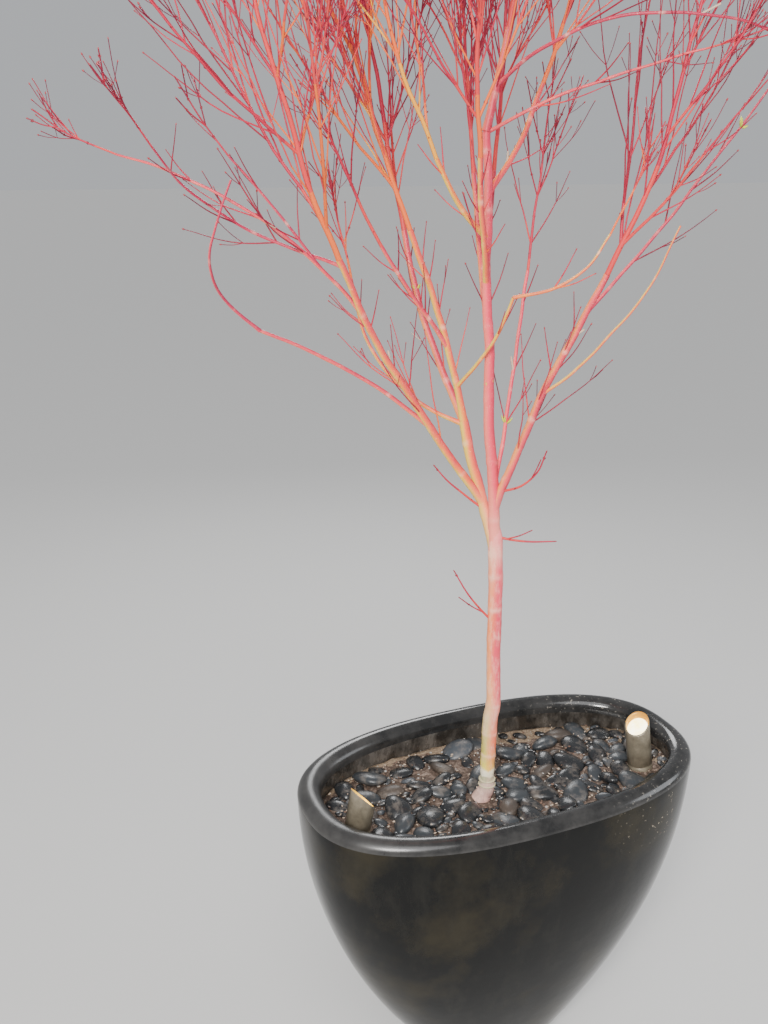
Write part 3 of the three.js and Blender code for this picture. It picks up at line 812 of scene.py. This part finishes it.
def lens_glass():
    f = Finish("lit_lens")
    grain = f.step(f.cloud(45, 3), 0.36, 0.6)
    glow = f.tint((1.0, 0.84, 0.26), (1.0, 0.97, 0.78), grain)
    return f.surface(base=(0.6, 0.42, 0.1), rough=0.14, glow=glow, glow_strength=6)


def lit_wall():
    """The inside of a barrel, bright by the lens and deeper towards the mouth."""
    f = Finish("lit_wall")
    height = f.step(f.axis(2) + f.cloud(90, 4) * 0.01, 0.612, 0.655)
    base = f.ramp(height, [(0.0, (0.75, 0.45, 0.06)), (1.0, (0.5, 0.24, 0.04))])
    glow = f.ramp(height, [(0.0, (1.0, 0.6, 0.04)), (0.5, (0.62, 0.25, 0.012)), (1.0, (0.2, 0.06, 0.004))])
    return f.surface(base=base, rough=0.3, metal=0.3, glow=glow, glow_strength=1.2)


def bark(name, pale, middle, blushed_and_shaded):
    """Smooth young bark that passes from a pale side, painted lit, through its own tone to a blushed side
    with painted shade.
    """
    f = Finish(name)
    streaks = f.cloud(48, 6, 0.6, (1, 1, 0.14)) * 0.7 - 0.35
    ripe = f.step(f.axis(2), 1.05, 1.75) * 0.3 - 0.12
    # Painted light and shade: the pale side is painted lit, the blushed side painted shaded as well as
    # reddened
    side = f.painted("blush") + streaks + ripe
    base = f.ramp(side, [(0.14, pale), (0.46, middle), (0.84, blushed_and_shaded)])
    fork = f.step(f.axis(2) + f.cloud(30, 3) * 0.03, 1.105, 1.03)
    base = f.tint(base, FORK_TONE, fork * (f.painted("blush") * 0.55 + 0.3))
    specks = f.step(f.cloud(420, 2), 0.62, 0.74)
    base = f.tint(base, (0.95, 0.5, 0.36), specks * 0.45)
    base = f.tint(base, RING_TONE, f.painted("ring") * f.step(f.cloud(70, 3), 0.38, 0.85))
    fine = f.bump(f.cloud(300, 6, 0.6, (1, 1, 0.4)), 0.35, 0.0008)
    return f.surface(base=base, rough=f.cloud(80) * 0.25 + 0.3, normal=fine, specular=0.32)


# The trunk from the soil to the fork: share of the height, tone of the pale side (painted lit) and of the
# blushed side (painted shade and reddening).
# It is greyish at the flare, cream at the graft, yellow-green and tan up to the kink, and coral above.
TRUNK_TONES = [
    (0.03, (0.46, 0.3, 0.25), (0.42, 0.25, 0.22)),
    (0.065, (0.6, 0.44, 0.36), (0.58, 0.4, 0.33)),
    (0.077, (0.34, 0.33, 0.2), (0.36, 0.3, 0.2)),
    (0.095, (0.44, 0.42, 0.26), (0.46, 0.38, 0.25)),
    (0.102, (0.86, 0.8, 0.6), (0.82, 0.7, 0.5)),
    (0.127, (0.92, 0.86, 0.64), (0.88, 0.76, 0.52)),
    (0.135, (0.8, 0.66, 0.1), (0.86, 0.46, 0.09)),
    (0.2, (0.56, 0.48, 0.11), None),
    (0.22, None, (0.88, 0.17, 0.07)),
    (0.34, (0.66, 0.48, 0.25), (0.84, 0.26, 0.18)),
    (0.43, (0.9, 0.36, 0.14), (0.8, 0.09, 0.12)),
    (0.7, (0.9, 0.22, 0.06), (0.7, 0.045, 0.085)),
    (0.9, (0.92, 0.3, 0.16), (0.76, 0.09, 0.12)),
    (0.96, (0.94, 0.48, 0.32), (0.88, 0.3, 0.26)),
    (1.0, FORK_TONE, (0.86, 0.22, 0.22)),
]


def trunk_bark():
    f = Finish("bark_trunk")
    height = f.step(f.axis(2) + f.cloud(60, 4) * 0.02, 0.555, 1.01)
    pale_and_lit_side = [(at, tone) for at, tone, _ in TRUNK_TONES if tone]
    blushed_and_shaded_side = [(at, tone) for at, _, tone in TRUNK_TONES if tone]
    streaks = f.cloud(60, 7, 0.65, (1, 1, 0.1)) * 0.8 - 0.4
    # Painted light and shade: the pale side is painted lit, the blushed side painted shaded as well as
    # reddened
    side = f.step(f.painted("blush") + streaks, 0.25, 0.7)
    base = f.tint(f.ramp(height, pale_and_lit_side), f.ramp(height, blushed_and_shaded_side), side)
    pale = f.step(f.cloud(120, 8, 0.72, (1, 1, 0.3)), 0.48, 0.68)
    base = f.tint(base, (0.95, 0.6, 0.47), pale * 0.5)
    dirt = f.step(f.cloud(260, 4), 0.58, 0.72)
    base = f.tint(base, (0.42, 0.2, 0.13), dirt * 0.35)
    base = f.tint(base, RING_TONE, f.painted("ring") * f.step(f.cloud(50, 3), 0.3, 0.8))
    fine = f.bump(f.cloud(190, 7, 0.65, (1, 1, 0.3)), 0.45, 0.0012)
    return f.surface(base=base, rough=f.cloud(70) * 0.25 + 0.33, normal=fine, specular=0.32)


def plain(name, colour, rough=0.5):
    return Finish(name).surface(base=colour, rough=rough, specular=0.3)


# Each bark's pale side (painted lit), own tone and blushed side (painted shade and reddening)
BARKS = {
    "gold": ((0.66, 0.54, 0.05), (0.82, 0.38, 0.04), (0.7, 0.14, 0.035)),
    "amber": ((0.7, 0.52, 0.06), (0.84, 0.25, 0.035), (0.68, 0.07, 0.05)),
    "orange": ((0.72, 0.5, 0.07), (0.84, 0.17, 0.045), (0.62, 0.045, 0.06)),
    "coral": ((0.8, 0.27, 0.08), (0.74, 0.075, 0.085), (0.48, 0.025, 0.065)),
    "pink": ((0.84, 0.17, 0.13), (0.8, 0.062, 0.1), (0.6, 0.026, 0.075)),
    "rose": ((0.76, 0.12, 0.11), (0.54, 0.034, 0.075), (0.34, 0.015, 0.06)),
}

# Young wood from gold through coral and red to plum
LADDER = {
    "twig_gold": (0.78, 0.33, 0.028),
    "twig_orange": (0.74, 0.13, 0.025),
    "twig_coral": (0.6, 0.045, 0.045),
    "twig_rose": (0.43, 0.017, 0.046),
    "twig_red": (0.29, 0.008, 0.031),
    "twig_crimson": (0.18, 0.0055, 0.025),
    "twig_plum": (0.12, 0.006, 0.027),
}
RIPEST = len(LADDER) - 1


# Pot
def swell(z):
    """How far the body has swollen at a height, from 0 at the foot to 1 at the rim."""
    return 1 - (1 - min(z / POT["height"], 1)) ** POT["fullness"]


def wall_at(z):
    """The wall thickens smoothly from the neck to the lip."""
    t = clamp((z - NECK) / (LIP_BASE - NECK))
    return mix(LIP["wall"], LIP["width"], t * t * (3 - 2 * t))


def oval(level, inset, turn, z):
    """A point at a height on the oval that the body has at a level, moved inward by an inset."""
    s = swell(level)
    halves = [mix(foot, rim, s) - inset for foot, rim in zip(POT["foot"], POT["rim"])]
    power = 2 / mix(POT["foot_oval"], POT["rim_oval"], s)
    bulge = [math.copysign(abs(v) ** power, v) for v in (math.cos(turn), math.sin(turn))]
    return (halves[0] * bulge[0], halves[1] * bulge[1], z)


def build_pot():
    """Rings from the foot up the outside, over the lip and down the inside, as level, inset and height."""
    levels = [6, 14, 26, *np.linspace(40, LIP_BASE, 34)]
    outside = [(0, 3, 0), (2, 0.6, 2), *[(level, 0, level) for level in levels]]
    lip = []
    for turn in range(10, 171, 10):
        way = math.radians(turn)
        lip.append((LIP_BASE, LIP["width"] / 2 * (1 - math.cos(way)), LIP_BASE + LIP["rise"] * math.sin(way)))
    depths = [*range(LIP_BASE, NECK, -8), 400, 300, 200, 110, 60, POT_FLOOR]
    rings = [*outside, *lip, *[(level, wall_at(level), level) for level in depths]]

    def place(ring, turn):
        level, inset, z = rings[ring]
        return oval(level, inset, turn, z)

    pot = column("glazed_pot", POT_SIDES, len(rings), place)
    finish(pot, "pot_glaze", ["pot"], glaze(), rim_glaze(), inner_glaze())
    rim_from = (LIP_BASE - 4) * MM
    for face in pot.data.polygons:
        turned_in = face.normal.x * face.center.x + face.normal.y * face.center.y < 0
        face.material_index = 1 if face.center.z > rim_from else 2 * int(turned_in)


# Soil and pebbles. A field is half its length and half its width.
BED = dict(oval=2.4, sides=120, rounds=30, depth=60)
PEBBLES = dict(field=(314, 160), tries=6000, large_tries=2600, large=(20, 33), small=(9, 17), nearness=0.64)
CRUMBS = dict(field=(312, 156), tries=1700)
ROOM = dict(trunk=21, lamp=25)

# Chance that a pebble isn't laid on bare soil, and the rolls at which the next shade of pebble starts
BARE_SKIPS = 0.88
SHADE_STARTS = (0.6, 0.86, 0.93)


def edge_share(x, y, power, margin=0):
    """How near a spot is to the wall, from 0 in the middle to 1 at the lip's inner edge."""
    halves = [rim - LIP["width"] - margin for rim in POT["rim"]]
    return (abs(x) / halves[0]) ** power + (abs(y) / halves[1]) ** power


def lumps(x, y, layer, fineness, height):
    """A smooth random height. Each layer is a pattern of its own."""
    return noise.noise(Vector((x, y, layer)) * fineness) * height


def soil_level(y):
    return SOIL_TOP - BED_FALL * (y - TRUNK_FOOT[1])


def bed_height(x, y):
    """The bed falls to the back of the pot, rolls gently and banks up a little against the wall."""
    rolling = lumps(x, y, 0, 0.012, 5) + lumps(x, y, 5, 0.05, 2.2)
    return soil_level(y) + rolling + 3 * clamp(edge_share(x, y, BED["oval"])) ** 3


def build_bed():
    lowest = SOIL_TOP - BED["depth"]

    def place(ring, turn):
        x, y, _ = oval(SOIL_TOP, wall_at(SOIL_TOP), turn, SOIL_TOP)
        z = lowest if ring == 0 else bed_height(x, y)
        x, y, _ = oval(z, wall_at(z) + 0.4, turn, z)
        if ring == 0:
            return (x, y, lowest)
        share = (BED["rounds"] + 1 - ring) / BED["rounds"]
        x, y = x * share, y * share
        return (x, y, bed_height(x, y) + lumps(x, y, 9, 0.16, 1.8))

    bed = column("soil_bed", BED["sides"], BED["rounds"] + 1, place)
    finish(bed, "soil_and_pebbles", ["soil_and_pebbles"], earth(), sand())
    for face in bed.data.polygons:
        x, y, _ = face.center / MM
        ragged = lumps(x, y, 0, 0.03, 0.25)
        sandy_from = 0.6 if y > 0 and x > -60 else 0.93
        face.material_index = int(edge_share(x, y, BED["oval"]) + ragged > sandy_from)


def clear_of_fittings(x, y, margin):
    fittings = [(*TRUNK_FOOT, ROOM["trunk"])] + [(px, py, ROOM["lamp"]) for px, py, *_ in LAMPS.values()]
    return all(math.hypot(x - px, y - py) > room + margin for px, py, room in fittings)


def inside_bed(x, y, margin):
    return edge_share(x, y, POT["rim_oval"], margin) < 1


def is_bare(x, y):
    """The back and the left end of the bed show soil with few pebbles on it."""
    return (y > 48 and x < 60) or y > 95 or x < -255


def build_pebbles():
    """Flat river pebbles, large ones first and small ones in what room is left."""
    roll = dice(77)
    bm = bmesh.new()
    laid = []
    for attempt in range(PEBBLES["tries"]):
        x, y = (roll(-reach, reach) for reach in PEBBLES["field"])
        half = roll(*PEBBLES["large" if attempt < PEBBLES["large_tries"] else "small"])
        if is_bare(x, y) and roll() < BARE_SKIPS:
            continue
        if not inside_bed(x, y, half * 0.8) or not clear_of_fittings(x, y, half * 0.75):
            continue
        if any(math.hypot(x - px, y - py) < (half + ph) * PEBBLES["nearness"] for px, py, ph in laid):
            continue
        laid.append((x, y, half))
        lay_pebble(bm, x, y, half, roll)
    stones = [
        stone("pebble_black", (0.014, 0.015, 0.0165), 0.27),
        stone("pebble_slate", (0.03, 0.034, 0.038), 0.32),
        stone("pebble_blue_grey", (0.05, 0.057, 0.066), 0.36),
        stone("pebble_umber", (0.05, 0.038, 0.03), 0.45),
    ]
    finish(mesh_object("river_pebbles", bm), "soil_and_pebbles", [], *stones)


def lay(bm, made, spot, turn, halves, number):
    """Gives new points of unit size their size, turn and place, and their faces a material."""
    move = Matrix.Scale(MM, 4) @ Matrix.Translation(spot) @ turn @ Matrix.Diagonal((*halves, 1))
    bmesh.ops.transform(bm, matrix=move, verts=made)
    for face in {face for v in made for face in v.link_faces}:
        face.material_index = number


def lay_pebble(bm, x, y, half, roll):
    made = bmesh.ops.create_uvsphere(bm, u_segments=14, v_segments=9, radius=1)["verts"]
    squeeze, flat, skew = roll(0.56, 0.8), roll(0.28, 0.42), roll(-0.25, 0.25)
    lump = Vector((roll(0, 50), roll(0, 50), roll(0, 50)))
    for v in made:
        v.co.x += skew * v.co.y * v.co.y
        v.co *= 1 + 0.14 * noise.noise(v.co * 1.1 + lump)
    turn = Matrix.Rotation(roll(0, math.pi), 4, "Z") @ Matrix.Rotation(roll(-0.38, 0.38), 4, "X")
    turn = turn @ Matrix.Rotation(roll(-0.3, 0.3), 4, "Y")
    rests_at = bed_height(x, y) + half * flat * roll(0.05, 0.75)
    shade = roll()
    number = sum(shade >= start for start in SHADE_STARTS)
    lay(bm, made, (x, y, rests_at), turn, (half, half * squeeze, half * flat), number)


def build_crumbs():
    """Crumbs of soil, grit and bark scattered over the pebbles."""
    roll = dice(88)
    bm = bmesh.new()
    for _ in range(CRUMBS["tries"]):
        x, y = (roll(-reach, reach) for reach in CRUMBS["field"])
        if not inside_bed(x, y, 5) or not clear_of_fittings(x, y, 0):
            continue
        made = bmesh.ops.create_icosphere(bm, subdivisions=1, radius=1)["verts"]
        half = roll(0.8, 3.4)
        turn = Matrix.Rotation(roll(0, math.pi), 4, "Z") @ Matrix.Rotation(roll(-0.6, 0.6), 4, "X")
        halves = (half, half * roll(0.3, 0.8), half * roll(0.25, 0.5))
        spot = (x, y, bed_height(x, y) + roll(0.5, 10))
        lay(bm, made, spot, turn, halves, int(roll(0, 3)))
    chips = [
        plain("chip_brown", (0.15, 0.09, 0.065), 0.85),
        plain("chip_grey", (0.34, 0.32, 0.3), 0.8),
        plain("chip_tan", (0.42, 0.33, 0.25), 0.85),
    ]
    finish(mesh_object("soil_crumbs", bm), "soil_and_pebbles", [], *chips)


# Uplights
def build_lamp(name, row, finish_body, finish_wall, finish_lens):
    x, y, height, faces, slant, leans_to, lean = row
    foot = np.array((x, y, soil_level(y)))
    axis = aim(leans_to, lean)
    outward = aim(faces, slant)
    side = unit(np.cross(axis, aim(faces, 90)))
    across = np.cross(axis, side)

    def ringed(piece_name, sides, rings):
        """Rings as radius, depth below the mouth, and height up the barrel where a ring is square to it."""

        def spot(ring, turn):
            radius, depth, up = rings[ring]
            out = (across * -math.cos(turn) + side * math.sin(turn)) * radius
            if up is None:
                up = height - (out @ outward + depth) / (axis @ outward)
            return foot + out + axis * up

        return column(piece_name, sides, len(rings), spot)

    r, wall, recess = LAMP["radius"], LAMP["wall"], LAMP["recess"]
    bore = r - wall
    foot_rings = [(r, 0, -18), (r, 0, 10)]
    groove = [(r - 0.7, 0, 10.6), (r - 0.7, 0, 12.4), (r, 0, 13)]
    mouth = [(r, 0.9, None), (r - 0.25, 0.25, None), (r - 0.9, 0, None), (bore + 0.6, 0, None)]
    inside = [(bore, 0.7, None), (bore, recess + 4, None)]
    shell = ringed(f"{name}_barrel", 64, [*foot_rings, *groove, *mouth, *inside])
    finish(shell, "uplight_body", [name], finish_body, finish_wall)
    axis_foot, axis_way = Vector(foot) * MM, Vector(axis)
    for face in shell.data.polygons:
        off = face.center - axis_foot
        turned_out = face.normal.dot(off - axis_way * off.dot(axis_way))
        face.material_index = int(turned_out < 0 and face.center.z > axis_foot.z)
    clear = bore - GAP
    top = recess - GAP
    rim = [(clear, recess + 2.5, None), (clear, top + 0.8, None), (clear - 0.8, top, None)]
    dome = [(clear * 0.6, recess - 1.3, None), (clear * 0.2, recess - 1.7, None)]
    lens = ringed(f"{name}_glass", 48, [*rim, *dome])
    finish(lens, "uplight_lens", [f"{name}_lens"], finish_lens)


# Limbs: tubes with swollen collars and nodes, pale rings at the nodes and a relief in the bark.
# A swelling is a share of the radius and a reach along the limb.
COLLAR = (0.3, 16)
LIMB_KNUCKLE = (0.1, 4.5)
TRUNK_KNUCKLE = (0.05, 4.5)
WAIST = (0.12, 7)

# Radii of a graft ring against the trunk's own, from edge to edge, and the reach of a painted ring
RING_PROFILE = (-1, -0.25, -0.25, -1)
RING_REACH = 2.2

# Depth and grain of the relief. On a limb the depth is a share of its radius.
TRUNK_RELIEF = (0.55, 11)
LIMB_RELIEF = (0.06, 7)

# The trunk's round end in the fork: height above its last point, and share of the radius there
SHOULDER = [(5, 0.97), (11, 0.88), (18, 0.72), (25, 0.5), (30, 0.15)]


def node_places(limb, roll):
    places = []
    at = roll(45, 80)
    while at < limb.length - 20:
        places.append(at)
        at += roll(62, 118)
    return places


def hump(way, at, share, reach):
    return share * np.exp(-(((way - at) / reach) ** 2))


def knuckled(thick, way, nodes, swelling):
    """Radii that swell a little at each old node."""
    for at in nodes:
        thick = thick * (1 + hump(way, at, *swelling))
    return thick


def band(limb, at, width):
    """A narrow ring round a limb, in the second of its finishes."""
    points = [limb.spot(at + width * share) for share in (-0.5, -0.25, 0.25, 0.5)]
    radius = np.interp(at / limb.length, np.linspace(0, 1, len(limb.thickness)), limb.thickness)
    return points, radius + np.array(RING_PROFILE), 1


def roughen(piece, depth, grain):
    for v in piece.data.vertices:
        spot = v.co / MM
        lumpy = noise.noise(spot / grain) + 0.5 * noise.noise(spot / grain * 2.7)
        v.co += v.normal * lumpy * depth * MM


def paint(piece, name, shares):
    piece.data.attributes.new(name, "FLOAT", "POINT").data.foreach_set("value", shares)


def blush_and_shade_shares(piece):
    """How far each point of the bark faces the side that has reddened and is painted in shade. The opposite
    side is painted lit.
    """
    toward_blush_and_shade = Vector(aim(330, 80))
    return [0.5 + 0.5 * v.normal.dot(toward_blush_and_shade) for v in piece.data.vertices]


def ring_shares(piece, limb, nodes):
    """How near each point of the bark is to one of the limb's old nodes."""
    spots = np.array([v.co for v in piece.data.vertices]) / MM
    shares = np.zeros(len(spots))
    for at in nodes:
        off = spots - limb.spot(at)
        ahead = off @ along(limb.path, at)[1]
        beside = np.linalg.norm(off, axis=1) < 3 * limb.radii[0]
        shares = np.maximum(shares, hump(ahead, 0, 1, RING_REACH) * beside)
    return shares


def finish_bark(piece, name, limb, nodes):
    # Painted light and shade: one side of the bark painted shaded and reddened, the other side painted lit
    paint(piece, "blush", blush_and_shade_shares(piece))
    paint(piece, "ring", ring_shares(piece, limb, nodes))
    finish(piece, "bark", [name])


def build_trunk(trunk, finishes):
    way = ways_along(trunk.course)
    thick = knuckled(trunk.thickness, way, TRUNK_NODES, TRUNK_KNUCKLE)
    thick = thick * (1 - hump(way, GRAFT_WAIST, *WAIST))
    course = np.vstack([trunk.course, *[trunk.course[-1] + trunk.tip_direction * up for up, _ in SHOULDER]])
    thick = np.concatenate([thick, [thick[-1] * share for _, share in SHOULDER]])
    rings = [band(trunk, at, width) for at, width in GRAFT_RINGS]
    piece = tubes("bark_trunk", [(course, thick, 0), *rings], 6, finishes)
    roughen(piece, *TRUNK_RELIEF)
    finish_bark(piece, "trunk", trunk, TRUNK_NODES)


def build_limb(name, limb, material, roll):
    way = ways_along(limb.course)
    nodes = node_places(limb, roll)
    swelling, reach = COLLAR
    thick = limb.thickness * (1 + swelling * np.exp(-way / reach))
    thick = knuckled(thick, way, nodes, LIMB_KNUCKLE)
    roundness = 4 if limb.radii[0] > 4 else 3
    piece = tubes(f"bark_{name}", [(limb.course, thick, 0)], roundness, [material])
    depth, grain = LIMB_RELIEF
    roughen(piece, depth * limb.radii[0], grain)
    finish_bark(piece, name, limb, nodes)


# Twigs: each one reddens from its root to its tip along the ladder of plain colours
STEM_RIPENS = 2.2
SHOOT_RIPENS = 1.7
TIP_BUD = (2.4, 3.6)
SIDE_BUD = (2.6, 3.6)
BUDS = {"bud_crimson": (0.22, 0.02, 0.03), "bud_red": (0.34, 0.03, 0.04), "young_leaf": (0.5, 0.56, 0.06)}


def twig_strands(strand):
    count = len(strand.course)
    ripen = strand.tint + np.linspace(0, STEM_RIPENS if strand.level == 0 else SHOOT_RIPENS, count)
    steps = [int(clamp(whole(r), 0, RIPEST)) for r in ripen]
    cuts = [0] + [i for i in range(1, count) if steps[i] != steps[i - 1]] + [count - 1]
    return [
        (strand.course[a : b + 1], strand.thickness[a : b + 1], steps[a])
        for a, b in zip(cuts, cuts[1:])
        if b > a
    ]


def bud(point, direction, size, number):
    shape = [(0, 0.3), (0.35, 0.36), (1, 0.05)]
    return [point + direction * size * way for way, _ in shape], [size * r for _, r in shape], number


def buds_on(strand, roll):
    """Opposite pairs of buds at the nodes of a main twig, and one bud at every tip."""
    made = [bud(strand.course[-1], strand.tip_direction, roll(*TIP_BUD), 1)]
    at, turn = roll(20, 40), roll(0, 3)
    while strand.level < 3 and at < strand.length - 6:
        point = strand.spot(at)
        _, direction = along(strand.path, at)
        thick = mix(strand.radii[0], strand.radii[-1], at / strand.length)
        for half in (0, math.pi):
            out = side_direction(direction, turn + half, math.radians(24))
            root = point + (out - direction * (out @ direction)) * thick * 1.4
            made.append(bud(root, out, roll(*SIDE_BUD), 0))
        at += roll(45, 75)
        turn += math.pi / 2
    return made


def young_leaves(limb, at, roll):
    """A tuft of small folded leaves at a node."""
    point, (_, direction) = limb.spot(at), along(limb.path, at)
    tuft = []
    for k in range(5):
        out = side_direction(direction, k * 2.4, math.radians(roll(35, 65)))
        size = roll(8, 13)
        spread = zip((0, 0.25, 0.55, 0.8, 1), (0.4, 1.5, 1.9, 1.2, 0.1))
        places = [(point + out * size * way + UP * size * 0.3 * way**2, radius) for way, radius in spread]
        tuft.append((*zip(*places), 2))
    return tuft


def build_masses(families, ladder, buds, roll):
    """One piece for each mass or sprig. Its buds are added to the list."""
    for k, (name, (family, inside)) in enumerate(families.items()):
        if name in MASSES:
            grow_finer(name, family, inside, 100 + k)
        strands = [part for strand in family for part in twig_strands(strand)]
        finish(tubes(f"twigs_{name}", strands, 1, ladder), "twigs", [name])
        buds += [one for strand in family for one in buds_on(strand, roll)]


def build_side_shoots(limbs, ladder, buds, roll):
    """The side shoots in one piece. One in seventeen has died back to a stub."""
    dead = plain("dead_wood", (0.5, 0.38, 0.28), 0.7)
    strands = []
    for k, shoot in enumerate(grow_side_shoots(limbs)):
        if k % 17 == 5:
            strands.append((shoot.course[:4], shoot.thickness[:4] * 1.5, len(ladder)))
        else:
            strands += twig_strands(shoot)
            buds += buds_on(shoot, roll)
    finish(tubes("side_shoots", strands, 1, [*ladder, dead]), "twigs", [])


def build_buds(limbs, buds, roll):
    """All buds and the tufts of young leaves in one piece."""
    for name, at in YOUNG_LEAVES:
        buds += young_leaves(limbs[name], at, roll)
    finishes = [plain(name, colour, 0.4) for name, colour in BUDS.items()]
    finish(tubes("winter_buds", buds, 0, finishes), "twigs", [])


# The object
def build_lamps():
    finishes = bronze(), lit_wall(), lens_glass()
    for name, row in LAMPS.items():
        build_lamp(name, row, *finishes)


def build_tree():
    limbs, families = grow_tree()
    barks = {name: bark(f"bark_{name}", *colours) for name, colours in BARKS.items()}
    build_trunk(limbs["trunk"], (trunk_bark(), plain("graft_ring", (0.5, 0.44, 0.28), 0.6)))
    roll = dice(404)
    for name, row in LIMBS.items():
        build_limb(name, limbs[name], barks[row[-1]], roll)
    ladder = [plain(name, colour) for name, colour in LADDER.items()]
    buds = []
    roll = dice(909)
    build_masses(families, ladder, buds, roll)
    build_side_shoots(limbs, ladder, buds, roll)
    build_buds(limbs, buds, roll)


build_pot()
build_bed()
build_pebbles()
build_crumbs()
build_lamps()
build_tree()


# Stage, in metres: a pale floor, soft lights and the camera at the photo's angle.
# The lens and its sensor are in millimetres.
EYE = (-0.77, -1.3315, 1.55)
EYE_HEADING = 67.3
EYE_PITCH = -18.78
LENS = 36.42
SENSOR = 36
FLOOR_HALF = 60
MIDDLE = (0, 0, 1.1)

# Soft lights: place, size, power and colour
LIGHTS = {
    "key": ((-1.9, -2.3, 2.4), 0.9, 130, (1, 0.97, 0.93)),
    "front": ((-0.95, -1.5, 1.85), 0.22, 12, (1, 1, 1)),
    "fill": ((2.6, -1.2, 1.6), 1.6, 30, (0.93, 0.96, 1)),
    "back": ((0.8, 2.6, 2.4), 1.2, 40, (1, 1, 1)),
}


def stage_light(name, kind):
    """A new light and its object."""
    lamp = bpy.data.lights.new(name, kind)
    light = stand(name, lamp)
    return lamp, light


def build_lights():
    for name, (place, size, power, colour) in LIGHTS.items():
        lamp, light = stage_light(name, "AREA")
        lamp.shape, lamp.size, lamp.energy, lamp.color = "DISK", size, power, colour
        light.location = place
        light.rotation_euler = (Vector(MIDDLE) - Vector(place)).to_track_quat("-Z", "Y").to_euler()
    sun, day = stage_light("day", "SUN")
    sun.energy, sun.angle = 1.8, math.radians(40)
    day.rotation_euler = (math.radians(35), math.radians(-20), 0)


def build_stage():
    bm = bmesh.new()
    bmesh.ops.create_grid(bm, x_segments=1, y_segments=1, size=FLOOR_HALF)
    floor = mesh_object("floor", bm)
    floor.data.materials.append(plain("pale_floor", (0.56, 0.555, 0.545), 0.7))
    world = bpy.data.worlds.new("studio")
    world.use_nodes = True
    sky = world.node_tree.nodes["Background"].inputs
    sky["Color"].default_value = (0.8, 0.82, 0.85, 1)
    sky["Strength"].default_value = 0.62
    bpy.context.scene.world = world


def build_camera():
    lens = bpy.data.cameras.new("photo_camera")
    lens.lens, lens.sensor_width, lens.sensor_fit = LENS, SENSOR, "AUTO"
    lens.clip_start = 0.05
    camera = stand("photo_camera", lens)
    camera.location = EYE
    heading, pitch = math.radians(EYE_HEADING), math.radians(EYE_PITCH)
    ahead = (math.cos(pitch) * math.cos(heading), math.cos(pitch) * math.sin(heading), math.sin(pitch))
    camera.rotation_euler = Vector(ahead).to_track_quat("-Z", "Y").to_euler()
    bpy.context.scene.camera = camera


build_stage()
build_lights()
build_camera()
